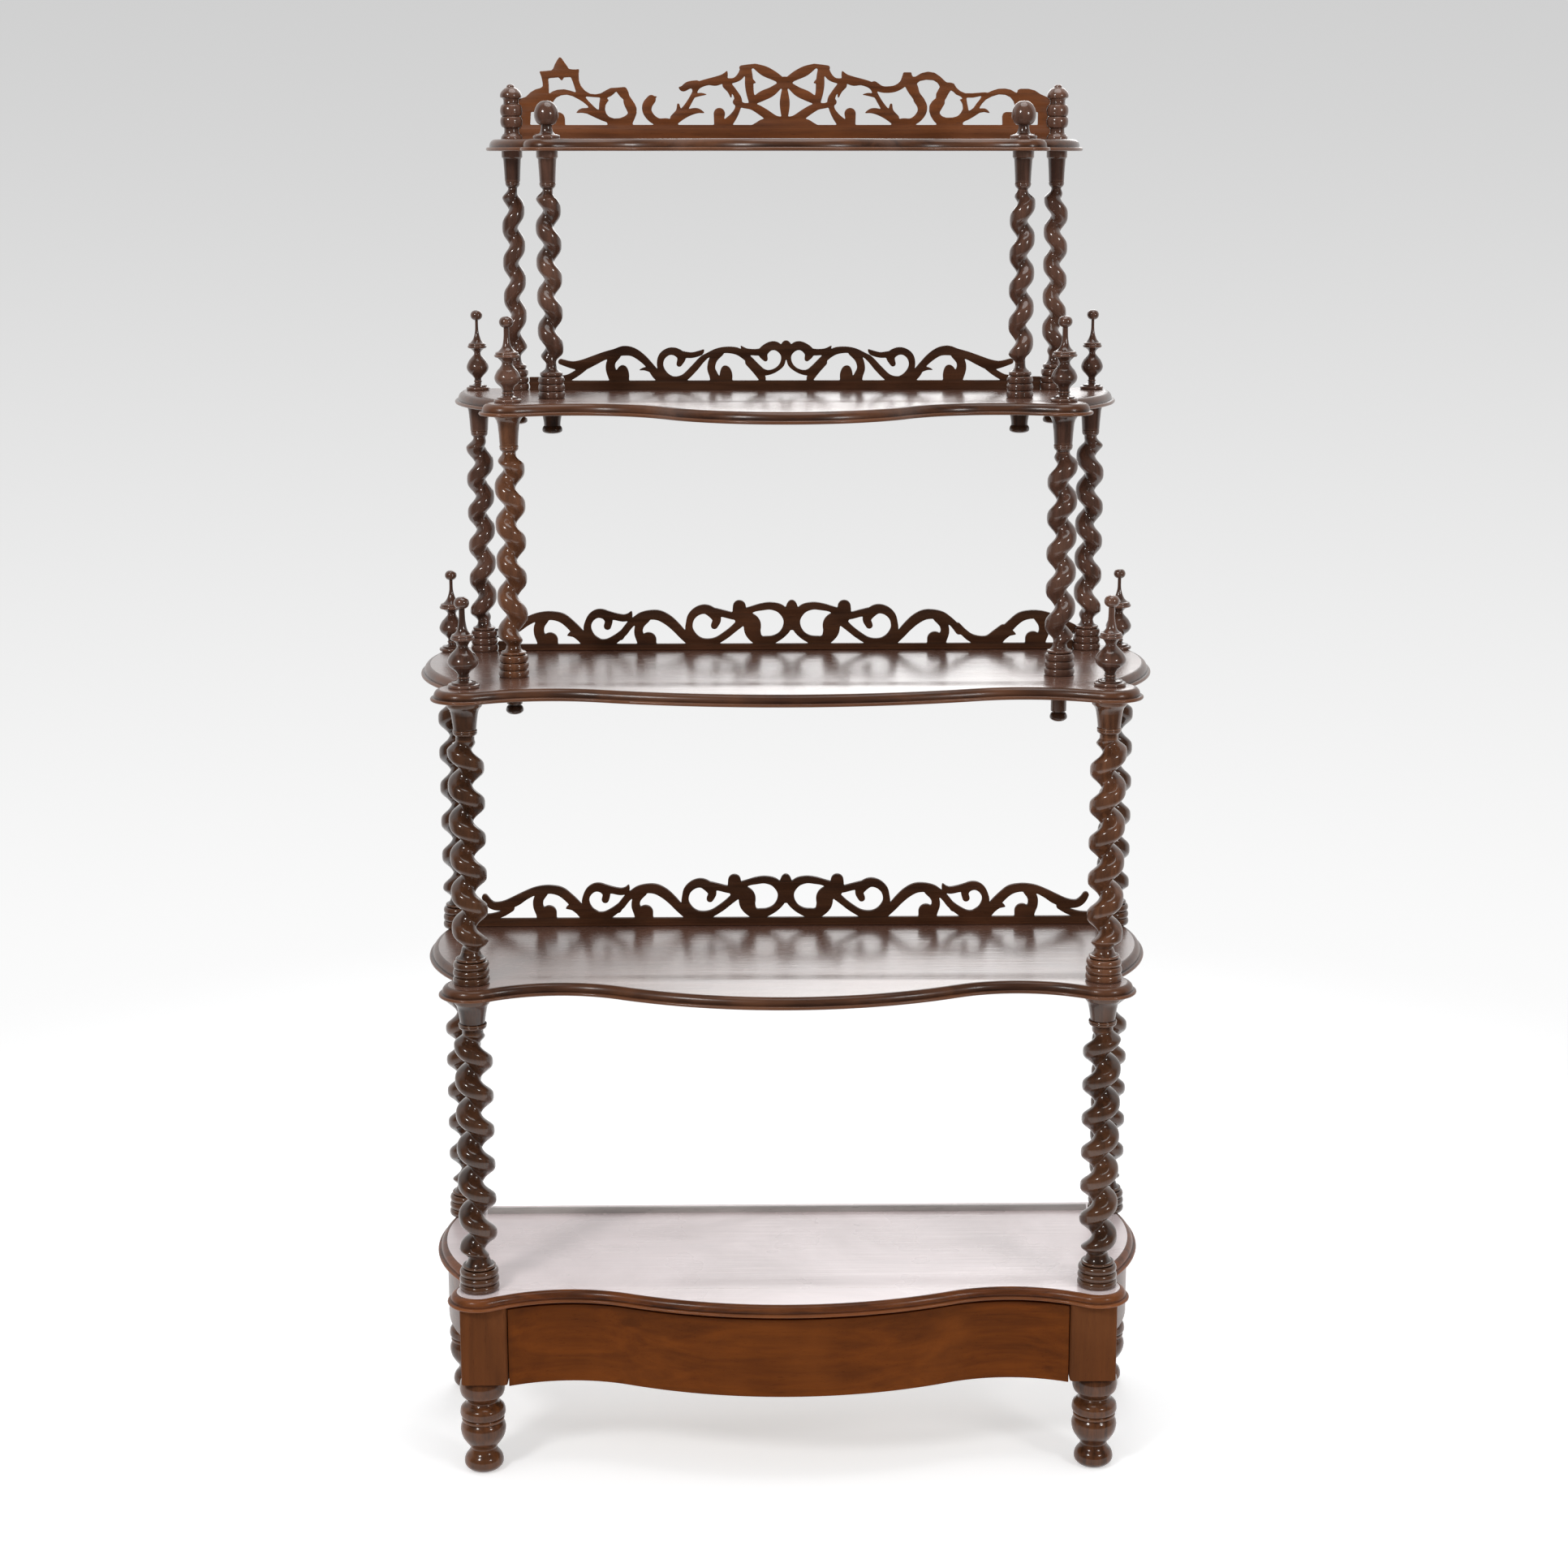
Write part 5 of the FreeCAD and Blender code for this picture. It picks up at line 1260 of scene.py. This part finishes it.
CROWN_BANDS = [
    [(0, 26, 7), (0, 34, 10.5), (0, 44, 12.3), (0, 54, 9.5), (0, 62, 5.5)],
    [(-7, 71, 8), (0, 71, 8), (7, 71, 8)],
    [(0, 70, 11), (0, 66, 12), (0, 62, 7)],
    [(4, 71, 8), (14, 76.8, 11), (25, 82, 12), (36, 87.5, 6.5)],
    [(5, 66, 7), (16, 57.5, 11), (27, 52.5, 12), (37, 47, 9)],
    [(45, 83, 9), (44, 76, 9.5), (43.6, 66, 10.5), (42.6, 56, 9.5), (40, 46, 9)],
    [(40, 70, 5), (36.4, 68.2, 2)],
    [(36, 88.8, 4), (45, 86.6, 6.5), (53, 86, 5.5)],
    [(50, 84, 9), (55, 75.5, 8), (62, 71, 6), (71, 70, 7)],
    [(70.6, 82, 1), (75, 74, 9), (84, 70, 11), (94, 69, 8), (104, 66, 8), (110, 62, 9)],
    [(72, 65, 9), (68, 58, 5), (66, 51, 2)],
    [(68, 65, 7), (61, 56, 7), (57, 47, 9), (58, 37, 7), (63, 28, 9), (70, 20, 12)],
    [(60, 45, 8), (51, 41, 6.5), (41, 39.8, 8), (33, 36.6, 10), (24, 31, 11), (12, 23, 12),
     (0, 20, 14)],
    [(0, 17, 10), (12, 18, 14), (25, 17.6, 14.5), (33, 16.5, 9), (40, 15.5, 4)],
    [(80.5, 16, 13), (81, 24, 12.5), (80.5, 31, 14)],
    [(99, 32, 1), (107, 34.5, 6), (116, 33, 8), (126, 28, 8), (138, 20, 9)],
    [(108, 64, 7), (111, 56, 6), (116, 47, 6), (122, 38, 7), (128, 32, 7)],
    [(112, 52, 4), (104, 54, 4), (96, 54, 1)],
    [(136, 18, 9), (145, 21, 9), (155, 21, 9), (163, 25, 10), (169, 33, 11), (169, 41, 12),
     (164, 48, 11)],
    [(131, 42, 3), (131, 34, 6), (137, 26, 8)],
]
# Only on the right: swag, upright stub and the start of the arch.
CROWN_RIGHT = [
    [(110, 65, 10), (119, 60.5, 8), (129, 60, 8), (138, 62, 8), (146, 68, 9), (151, 80, 10)],
    [(151, 78, 9), (153, 70, 13), (157, 62, 14), (161, 54, 11), (167, 46, 11)],
    [(154, 71, 6), (160, 71.5, 8)],
]
# Only on the left: leaf tip and curl.
CROWN_LEFT = [
    [(108, 67, 8), (118, 65, 9), (125, 61, 7), (130, 62.5, 1)],
    [(166, 48, 8), (162, 50, 4), (157, 51.5, 1)],
]
# Outer parts of the crown board, where the two sides differ: a broken crown with its peak on
# the left, an arch on the right. Each is one sawn outline with the openings cut from it.
CROWN_AREAS = (
    [(-338, -4), (-338, 49), (-324, 49.2), (-318, 51), (-312, 56.5), (-306, 60), (-300, 61.5),
     (-296.8, 63.5), (-297, 68), (-298.3, 75), (-300.8, 81.5), (-293, 82), (-285.5, 82.8),
     (-283.5, 85), (-281.5, 90), (-278.5, 95), (-276.3, 98), (-274.8, 98.4), (-272.5, 96.5),
     (-270, 92.5), (-267, 88.5), (-264.5, 84.5), (-260, 83.8), (-255, 83.8), (-252, 84.6),
     (-252.7, 78), (-252.3, 70), (-250, 64), (-245, 58.3), (-239, 54.8), (-232, 54.2),
     (-226, 55.3), (-218.5, 59.5), (-213.5, 61.8), (-205, 62.2), (-197, 63), (-194.8, 62.3),
     (-192.3, 58), (-190.8, 52.5), (-188, 48.3), (-184.3, 43), (-182.2, 38), (-182.3, 31.5),
     (-184.6, 25.5), (-187.2, 20), (-187.4, -4)],
    [(162.3, 66.8), (166, 70), (174, 71.6), (183, 71), (188, 68), (191, 63.5), (189, 60),
     (186.4, 55), (186.3, 50), (181.5, 46), (178.3, 41), (178, 34), (180, 28), (184, 22),
     (187.2, 19), (187.4, -4), (338, -4), (338, 49.8), (328, 50.2), (322, 51.5),
     (315, 54.5), (308, 59), (300, 61), (290, 61), (287, 59.8), (286, 55.8), (283, 57.2),
     (278, 60), (271, 61.3), (263, 61), (256, 59), (250, 56.3), (246, 56.8), (238, 56.2),
     (230, 55.6), (222, 55.7), (216, 58.2), (211.2, 62.2), (208.2, 67.2), (204, 68.4),
     (199.2, 68.6), (197, 70.2), (191, 75.7), (184, 80.2), (176, 81.4), (168, 79.7),
     (162, 76.2), (158, 72.8), (157, 70)],
)
CROWN_OPENINGS = (
    [(-290, 73.2), (-289.6, 66), (-289.5, 54.5), (-285, 57.6), (-279, 59.6), (-270.5, 60.2),
     (-262.5, 58.4), (-256, 56.2), (-257.8, 62), (-260, 69), (-262.3, 74.6), (-270.8, 74.2),
     (-273.6, 70), (-277.2, 74.3)],
    [(-270.5, 17.4), (-270.5, 26), (-272, 30), (-276, 32.5), (-283.5, 32.8), (-285, 36),
     (-285.8, 40), (-284.8, 45), (-281, 50), (-275, 52.8), (-268, 53.6), (-261, 52),
     (-254, 48.5), (-248, 45), (-243, 41), (-240.7, 38.2), (-244, 37.8), (-249, 37.6),
     (-253, 36), (-257.2, 31.6), (-250, 32), (-243.5, 31), (-235, 27), (-225, 22.6),
     (-219, 20.6), (-217.8, 17.4)],
    [(-245.2, 51.6), (-236, 50.8), (-226.6, 50.2), (-228, 43), (-228.6, 35.2), (-232, 37.2),
     (-238.5, 43.5), (-243, 48.2)],
    [(-218.6, 49.8), (-216, 46.8), (-218, 45), (-220.5, 41), (-221, 36), (-219.5, 31),
     (-216, 27.2), (-210, 25.2), (-203, 25.6), (-197.5, 27.6), (-193.8, 30.2), (-192.8, 32),
     (-194.3, 35), (-196.8, 40), (-198.2, 44.5), (-198.3, 48), (-202, 51), (-205, 55),
     (-207, 57.6), (-209.8, 54.8), (-213.5, 52)],
    [(-313.3, 17.6), (-286, 17.6), (-286, 33), (-312.2, 33)],
    [(204.5, 59.2), (201, 54), (199, 50), (197, 47), (197, 43), (194, 38), (191, 33),
     (191, 31), (194, 28), (199, 26.3), (207, 26.5), (213, 28.2), (217, 32), (219.6, 37),
     (219, 42.5), (216.8, 46.5), (214.6, 48.2), (218, 48.6), (218.8, 50), (216, 52),
     (211, 54), (208, 57)],
    [(223.6, 50.2), (232, 50.2), (238, 51.4), (243, 52.6), (240, 48), (236, 43), (232, 37.5),
     (226.6, 34.2), (226, 38), (224.6, 44)],
    [(219.4, 17.6), (219.6, 20), (221.3, 21.6), (227, 24), (234, 28), (240, 32), (246, 33),
     (253.6, 31.4), (250, 35.5), (247, 37.4), (243, 37.6), (239.2, 37.2), (243, 43),
     (248, 48), (255, 51.6), (264, 54.2), (272, 53.6), (278, 50.8), (282, 46), (284, 40),
     (283.5, 35), (281, 33), (272.5, 33.2), (269.3, 31.6), (268.2, 28), (268.6, 17.6)],
    [(285, 17.6), (312.3, 17.6), (312.3, 33), (285, 33)],
    [(140, 80.6), (164, 80.6), (164, 92), (140, 92)],
)


def eased(values: np.ndarray, axis: int) -> np.ndarray:
    """Values that are averaged with their neighbours along an axis."""
    return (np.roll(values, 1, axis) + 2 * values + np.roll(values, -1, axis)) / 4


class FretField:
    """Distance field of a fretwork board, from which its smooth outline is traced."""

    STEP = 0.5
    MARGIN = 3.0
    OUTSIDE = 6.0
    REACH = 4.0
    STROKE_STEP = 0.6
    LEAST_WIDTH = 0.8
    LEAST_POINTS = 12

    def __init__(self, left: float, right: float, top: float) -> None:
        """Set up an empty board.

        Args:
            left: Left end.
            right: Right end.
            top: Highest point with some room.
        """
        self.ends = (left, right)
        start, low = left - self.MARGIN, -self.MARGIN
        columns = int((right + self.MARGIN - start) / self.STEP) + 1
        rows = int((top + self.MARGIN - low) / self.STEP) + 1
        self.xs = start + np.arange(columns) * self.STEP
        self.zs = low + np.arange(rows) * self.STEP
        self.depth = np.full((columns, rows), self.OUTSIDE)

    def add_box(self, left: float, right: float, low: float, high: float) -> None:
        """Add a rectangle."""
        across = np.maximum(left - self.xs, self.xs - right)[:, None]
        up = np.maximum(low - self.zs, self.zs - high)[None, :]
        self.depth = np.minimum(self.depth, np.maximum(across, up))

    def add_band(self, band: Band, sign: int) -> None:
        """Add a band of changing width along a smooth centre line.

        Args:
            band: Its stations as x, height and width.
            sign: 1, or -1 to mirror it.
        """
        knots = np.array([band[0], *band, band[-1]], float)
        knots[:, 0] *= sign
        for number in range(len(band) - 1):
            around = knots[number:number + 4]
            length = np.hypot(*(around[2] - around[1])[:2])
            for share in np.linspace(0, 1, max(int(length / self.STROKE_STEP), 2)):
                x, z, width = curved(around, share)
                self._add_disc(x, z, max(width, self.LEAST_WIDTH) / 2)

    def _add_disc(self, x: float, z: float, radius: float) -> None:
        """Add one disc of the stroke."""
        reach = radius + self.REACH
        i0, i1 = np.searchsorted(self.xs, (x - reach, x + reach))
        j0, j1 = np.searchsorted(self.zs, (z - reach, z + reach))
        far = np.hypot(self.xs[i0:i1, None] - x, self.zs[None, j0:j1] - z) - radius
        self.depth[i0:i1, j0:j1] = np.minimum(self.depth[i0:i1, j0:j1], far)

    def smooth(self, rounds: int) -> None:
        """Ease the corners where bands meet."""
        for _ in range(rounds):
            self.depth = eased(eased(self.depth, 0), 1)

    def trim(self, post: Lathe, gap: float) -> None:
        """Cut the board level at the foot and scribe its ends to the turned posts.

        Args:
            post: Profile of the post at each end.
            gap: Room between the board and the post.
        """
        self.depth = np.maximum(self.depth, -self.zs[None, :])
        radii, heights = zip(*post.stations)
        reach = np.interp(self.zs, heights, radii)[None, :] + gap
        self.depth = np.maximum(self.depth, self.ends[0] + reach - self.xs[:, None])
        self.depth = np.maximum(self.depth, self.xs[:, None] - self.ends[1] + reach)

    def _reach(self, outline: Sequence[Point]) -> np.ndarray:
        """Signed distance of the grid from a closed outline, negative inside."""
        across, up = np.meshgrid(self.xs, self.zs, indexing="ij")
        near = np.full(across.shape, 1e9)
        inside = np.zeros(across.shape, bool)
        for (x0, z0), (x1, z1) in zip(outline, [*outline[1:], outline[0]]):
            run, rise = x1 - x0, z1 - z0
            share = np.clip(((across - x0) * run + (up - z0) * rise) / (run**2 + rise**2), 0, 1)
            near = np.minimum(near, np.hypot(across - x0 - share * run, up - z0 - share * rise))
            if rise:
                between = (z0 > up) != (z1 > up)
                inside ^= between & (across < x0 + (up - z0) * run / rise)
        return np.where(inside, -near, near)

    def add_area(self, outline: Sequence[Point]) -> None:
        """Add everything inside a sawn outline."""
        self.depth = np.minimum(self.depth, self._reach(outline))

    def cut_area(self, outline: Sequence[Point]) -> None:
        """Saw an opening out."""
        self.depth = np.maximum(self.depth, -self._reach(outline))

    def loops(self) -> list[list[Point]]:
        """Trace the closed outlines of the board.

        Returns:
            The outlines as lists of points.
        """
        inside = self.depth < 0
        code = (inside[:-1, :-1] * 1 + inside[1:, :-1] * 2 + inside[1:, 1:] * 4
                + inside[:-1, 1:] * 8)
        bottom, right, top, left = range(4)
        table = {1: [(left, bottom)], 2: [(bottom, right)], 3: [(left, right)],
                 4: [(right, top)], 5: [(left, top), (right, bottom)], 6: [(bottom, top)],
                 7: [(left, top)], 8: [(top, left)], 9: [(top, bottom)],
                 10: [(top, right), (bottom, left)], 11: [(top, right)], 12: [(right, left)],
                 13: [(right, bottom)], 14: [(bottom, left)]}
        follow: dict[tuple, list[tuple]] = {}
        for i, j in np.argwhere((code > 0) & (code < 15)):
            sides = ((0, i, j), (1, i + 1, j), (0, i, j + 1), (1, i, j))
            for first, second in table[int(code[i, j])]:
                follow.setdefault(sides[first], []).append(sides[second])
                follow.setdefault(sides[second], []).append(sides[first])
        outlines, seen = [], set()
        for start in follow:
            if start in seen:
                continue
            chain, current, previous = [], start, None
            while current not in seen:
                seen.add(current)
                chain.append(self._crossing(*current))
                ahead = [key for key in follow[current] if key != previous and key not in seen]
                if not ahead:
                    break
                previous, current = current, ahead[0]
            if len(chain) > self.LEAST_POINTS:
                outlines.append(chain)
        return outlines

    def _crossing(self, upright: int, i: int, j: int) -> Point:
        """Where the outline crosses one edge of the grid."""
        first = self.depth[i, j]
        second = self.depth[i, j + 1] if upright else self.depth[i + 1, j]
        share = first / (first - second)
        if upright:
            return float(self.xs[i]), float(self.zs[j] + share * self.STEP)
        return float(self.xs[i] + share * self.STEP), float(self.zs[j])


@dataclass
class Gallery:
    """One fretwork board between the back posts of a shelf."""

    shelf: str
    post_x: float
    post: Lathe
    centre: float
    rail: float
    end: float
    bands: list[Band]
    left: list[Band]
    right: list[Band]
    finish: PolishedWalnut = FRET
    slot: str = "dark_walnut"
    bead: bool = False
    thickness: float = 6.5
    arris: float = 0.45
    areas: tuple[list[Point], ...] = ()
    openings: tuple[list[Point], ...] = ()

    OVERLAP: ClassVar[float] = 4.0
    END_LENGTH: ClassVar[float] = 34.0
    HEADROOM: ClassVar[float] = 9.0
    LEVEL_FOOT: ClassVar[float] = 0.6
    GAP: ClassVar[float] = 0.3

    def outlines(self) -> list[list[Point]]:
        """Trace the board from its rail, ends and bands."""
        start, stop = -self.post_x - self.centre, self.post_x - self.centre
        top = max([z for band in self.bands + self.left + self.right for _, z, _ in band]
                  + [z for area in self.areas for _, z in area]) + self.HEADROOM
        field = FretField(start, stop, top)
        first, last, low = start - self.OVERLAP, stop + self.OVERLAP, -self.OVERLAP
        field.add_box(first, last, low, self.rail)
        field.add_box(first, start + self.END_LENGTH, low, self.end)
        field.add_box(stop - self.END_LENGTH, last, low, self.end)
        for sign, extra in ((-1, self.left), (1, self.right)):
            for band in self.bands + extra:
                field.add_band(band, sign)
        for area in self.areas:
            field.add_area(area)
        for opening in self.openings:
            field.cut_area(opening)
        field.smooth(2)
        field.trim(self.post, self.GAP)
        outlines = []
        for chain in field.loops():
            points = np.array(chain)
            for _ in range(2):
                points = np.where(points[:, 1:] < self.LEVEL_FOOT, points, eased(points, 0))
            outlines.append([(float(x), float(z)) for x, z in points[::2]])
        return outlines

    def build(self) -> None:
        """Fill the outlines, give the board its thickness and soften its arrises."""
        curve = bpy.data.curves.new(self.shelf, "CURVE")
        curve.dimensions = "2D"
        curve.fill_mode = "BOTH"
        curve.extrude = (self.thickness / 2 - self.arris) * MM
        curve.bevel_depth = self.arris * MM
        curve.bevel_resolution = 1
        curve.offset = -self.arris * MM
        for outline in self.outlines():
            spline = curve.splines.new("POLY")
            spline.points.add(len(outline) - 1)
            flat = [part for x, z in outline for part in (x * MM, z * MM, 0.0, 1.0)]
            spline.points.foreach_set("co", flat)
            spline.use_cyclic_u = True
        carrier = placed(self.shelf, curve)
        mesh = baked(carrier)
        bpy.data.objects.remove(carrier)
        place = (self.centre * MM, BACK_ROW * MM, TOPS[self.shelf] * MM)
        mesh.transform(Matrix.Translation(place) @ Matrix.Rotation(math.pi / 2, 4, "X"))
        node = f"{self.shelf}_gallery"
        piece = finish_piece(f"{node}_fret", mesh, (self.finish,), FRET_CREASE)
        if self.bead:
            self._add_bead(piece)
        report(piece, STAND, self.slot, node)

    def _add_bead(self, piece: bpy.types.Object) -> None:
        """Add the fine bead along the foot of the board, in front of it."""
        near, floor = BACK_ROW - self.thickness / 2, TOPS[self.shelf]
        section = [(near - 1.9 * math.cos(turn), floor + 1.6 + 1.6 * math.sin(turn))
                   for turn in np.radians([-90, -60, -30, 0, 30, 60, 90])]
        section += [(near + 0.5, floor + 3.2), (near + 0.5, floor)]
        reach = self.post_x - max(radius for radius, height in self.post.stations
                                  if -0.1 < height < 6) - self.GAP
        bead = new_piece("bead", moulded(section, -reach, reach), self.finish)
        with edited(piece.data) as work:
            work.from_mesh(bead.data)
        bpy.data.objects.remove(bead)


def lowered(bands: list[Band], drop: float) -> list[Band]:
    """The same bands set lower."""
    return [[(x, z - drop, width) for x, z, width in band] for band in bands]


def galleries() -> list[Gallery]:
    """The four boards, from the crown down."""
    tail = LARGE_SCROLL + LARGE_TAIL
    crown, upper, middle = (tier.base(tier.corners["back_right"].slim) for tier in TIERS[:3])
    return [
        Gallery("crown", 336.7, Turnings.cone(), 0.0, 17.6, 42.0, CROWN_BANDS, CROWN_LEFT,
                CROWN_RIGHT, CROWN_FRET, "warm_walnut", areas=CROWN_AREAS,
                openings=CROWN_OPENINGS),
        Gallery("upper", 336.7, crown, 1.0, 11.5, 16.0, UPPER_BANDS, [], []),
        Gallery("middle", 385.5, upper, 7.5, 8.0, 12.0, lowered(LARGE_BANDS, 4.5),
                lowered(LARGE_SCROLL, 4.5), LARGE_DIP, bead=True),
        Gallery("lower", 426.3, middle, -1.0, 10.5, 16.0, LARGE_BANDS, tail, tail, bead=True),
    ]


# ---------------------------------------------------------------- base and drawer

def drawn(name: str, outline: Sequence[Point], low: float, high: float,
          finish: PolishedWalnut, body: str, slot: str, node: str, round_off: float) -> None:
    """Make a piece with an even plan and softened edges.

    Args:
        name: Name of the piece.
        outline: Its plan.
        low: Height of its underside.
        high: Height of its top.
        finish: Its finish.
        body: Body that it rides on.
        slot: Handed on to report, which does not use it.
        node: CAD node that it stands for.
        round_off: Width of the rounding of its edges.
    """
    piece = new_piece(name, prism(outline, low, high), finish)
    report(softened(piece, round_off), body, slot, node)


@dataclass
class Base:
    """Corner blocks, curved side rails and the low strip at the back."""

    block_low: float = 124.0
    rail_low: float = 140.0
    block_round: float = 4.5
    front_blocks: tuple[float, ...] = (350.8, 408.5, -135.0, -77.3)
    rear_blocks: tuple[float, ...] = (385.0, 440.0, 119.0, 174.0)
    rail_faces: Point = (12.0, 30.0)
    strip_half: float = 400.0

    @property
    def top(self) -> float:
        """Height of the underside of the base top."""
        return TOPS["base"] - BOARD

    def blocks(self) -> None:
        """Make the four corner blocks with rounded upright corners."""
        size = self.block_round
        for row, plan in (("front", self.front_blocks), ("rear", self.rear_blocks)):
            left, right, near, far = (edge + size * inward
                                      for edge, inward in zip(plan, (1, -1, 1, -1)))
            corners = ((right, far), (left, far), (left, near), (right, near))
            for side, sign in SIDES:
                outline = [(sign * x, y) for quarter, corner in enumerate(corners)
                           for x, y in arc(corner, size, quarter * math.pi / 2,
                                           (quarter + 1) * math.pi / 2, 7)]
                node = f"corner_block_{row}_{side}"
                drawn(f"{node}_post", outline, self.block_low, self.top, BLOCK, STAND,
                      "warm_walnut", node, 0.9)

    def rails(self) -> None:
        """Make the curved side rails between the blocks."""
        outer, inner = (BASE_BOARD.side_half(inset, self.front_blocks[3], self.rear_blocks[2])
                        for inset in self.rail_faces)
        for side, sign in SIDES:
            outline = [(sign * x, y) for x, y in outer + inner[::-1]]
            node = f"side_rail_{side}"
            drawn(f"{node}_board", outline, self.rail_low, self.top, RAIL, STAND,
                  "shelf_walnut", node, 0.8)

    def strip(self) -> None:
        """Make the low strip with a rounded top at the back of the base."""
        half, shoulder, crest = 4.0, 4.6, 2.9
        front, back = BACK_ROW - half, BACK_ROW + half
        section = [(front, 0.0), (front, shoulder)]
        section += [(BACK_ROW - half * math.cos(turn), shoulder + crest * math.sin(turn))
                    for turn in np.linspace(0, math.pi, 9)[1:-1]]
        section += [(back, shoulder), (back, 0.0)]
        raised = [(y, TOPS["base"] + z) for y, z in section]
        piece = new_piece("base_back_strip_bead",
                          moulded(raised, -self.strip_half, self.strip_half), STRIP)
        report(piece, STAND, "shelf_walnut", "base_back_strip")

    def build(self) -> None:
        """Make the visible parts of the base."""
        self.blocks()
        self.rails()
        self.strip()


@dataclass
class Drawer:
    """The serpentine drawer front; the drawer box keeps its CAD solids in plain pine."""

    low: float = 118.0
    high: float = 220.0
    half: float = 350.0
    faces: Point = (12.0, 34.0)

    def build(self) -> None:
        """Make the bowed front board."""
        outer, inner = (BASE_BOARD.front_half(inset, self.half) for inset in self.faces)
        outline = [(-x, y) for x, y in outer[:0:-1]] + outer
        outline += inner[::-1] + [(-x, y) for x, y in inner[1:]]
        drawn("drawer_front_board", outline, self.low, self.high, FRONT, DRAWER, "warm_walnut",
              "drawer_front", 0.8)


# ---------------------------------------------------------------- studio

@dataclass
class Studio:
    """Pale floor, soft lamps, pale surroundings and the camera."""

    eye: tuple[float, float, float] = (-0.02288, -3.46842, 1.6193)
    pitch: float = 12.345
    heading: float = 1.0
    lens: float = 65.81
    shift: float = -0.0214
    target: tuple[float, float, float] = (0.0, 0.0, 0.85)
    floor_centre: float = 0.3

    def camera(self) -> None:
        """Place the camera."""
        data = bpy.data.cameras.new("camera")
        data.lens = self.lens
        data.sensor_width = 36.0
        data.shift_x = self.shift
        made = placed("camera", data)
        made.location = self.eye
        made.rotation_euler = (math.radians(90 - self.pitch), 0, math.radians(-self.heading))
        bpy.context.scene.camera = made

    def lamps(self) -> None:
        """Place the area lamps."""
        for name, place, size, power in (
                ("key", (-2.0, -2.8, 3.0), 0.85, 50.0),
                ("fill", (2.4, -2.6, 2.2), 0.75, 26.0),
                ("top", (0.2, -0.2, 3.8), 2.0, 30.0),
                ("rear", (0.4, 2.9, 2.6), 2.0, 22.0)):
            data = bpy.data.lights.new(name, "AREA")
            data.shape = "DISK"
            data.size = size
            data.energy = power
            lamp = placed(name, data)
            lamp.location = place
            aim = Vector(self.target) - Vector(place)
            lamp.rotation_euler = aim.to_track_quat("-Z", "Y").to_euler()

    def surroundings(self) -> None:
        """White surroundings that turn pale grey above eye level; the room before is dim."""
        world = bpy.data.worlds.new("surroundings")
        bpy.context.scene.world = world
        world.use_nodes = True
        sketch = NodeSketch(world.node_tree)
        _, back, rise = sketch.split(sketch.node("ShaderNodeTexCoord")[DIRECTION])
        pale = 1.0 - rise.smooth(-0.36, 0.14) * 0.4
        mirrored = back.smooth(-0.25, 0.25) * 0.84 + 0.08
        path = sketch.node("ShaderNodeLightPath")
        glossy = path[GLOSSY_RAY]
        level = pale * (1.0 - glossy) + mirrored * glossy
        seen = sketch.node("ShaderNodeBackground", {0: WHITE, 1: level})[0]
        light = sketch.node("ShaderNodeBackground", {0: (0.96, 0.98, 1.0, 1.0), 1: 0.5})[0]
        direct = (path[CAMERA_RAY] + glossy + path[TRANSMISSION_RAY]).held()
        mixed = sketch.node("ShaderNodeMixShader", {0: direct, 1: light, 2: seen})[0]
        sketch.output("ShaderNodeOutputWorld", mixed)

    def floor(self) -> None:
        """A pale round floor that keeps the shadow and fades into the surroundings."""
        rim = arc((0, self.floor_centre / MM), 2400, 0, 2 * math.pi, 97)[:-1]
        mesh = metre_mesh("floor", [(x, y, 0.0) for x, y in rim], [list(range(len(rim)))])
        material, sketch = new_material("pale_floor")
        place = sketch.node("ShaderNodeTexCoord")[OBJECT_SPACE]
        grain = sketch.noise(place, 3.0, 2.0)
        colour = sketch.blend(grain, (0.82, 0.82, 0.82), (0.86, 0.86, 0.86))
        matt = sketch.node("ShaderNodeBsdfDiffuse", {0: colour})[0]
        path = sketch.node("ShaderNodeLightPath")
        glow = (path[CAMERA_RAY] + path[GLOSSY_RAY]).held() * 0.46
        lit = sketch.node("ShaderNodeEmission", {0: WHITE, 1: glow})[0]
        both = sketch.node("ShaderNodeAddShader", {0: matt, 1: lit})[0]
        east, north, _ = sketch.split(place)
        north = north - self.floor_centre
        away = (east * east + north * north).root().smooth(1.0, 2.3)
        clear = sketch.node("ShaderNodeBsdfTransparent")[0]
        faded = sketch.node("ShaderNodeMixShader", {0: away, 1: both, 2: clear})[0]
        sketch.output("ShaderNodeOutputMaterial", faded)
        mesh.materials.append(material)
        placed("floor", mesh)

    def build(self) -> None:
        """Set up the whole studio."""
        bpy.context.scene.view_settings.view_transform = "Standard"
        self.camera()
        self.lamps()
        self.surroundings()
        self.floor()


# ---------------------------------------------------------------- assembly


def dress_frame(frame: dict) -> None:
    """Give the CAD nodes that stay in view their wood.
    """
    for name, node in frame["nodes"].items():
        node.data.materials.clear()
        node.data.materials.append(dressed(PINE))
        LOG.info("%s in pine", name)


def main() -> None:
    """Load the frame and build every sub-assembly."""
    logging.basicConfig(level=logging.INFO, format="%(message)s")
    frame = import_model()
    dress_frame(frame)
    Studio().build()
    for shelf in SHELVES:
        shelf.build()
    tree = TwistTree()
    for tier in TIERS:
        tier.build(tree)
    Turnings().build()
    for gallery in galleries():
        gallery.build()
    Base().build()
    Drawer().build()


if __name__ == "__main__":
    main()
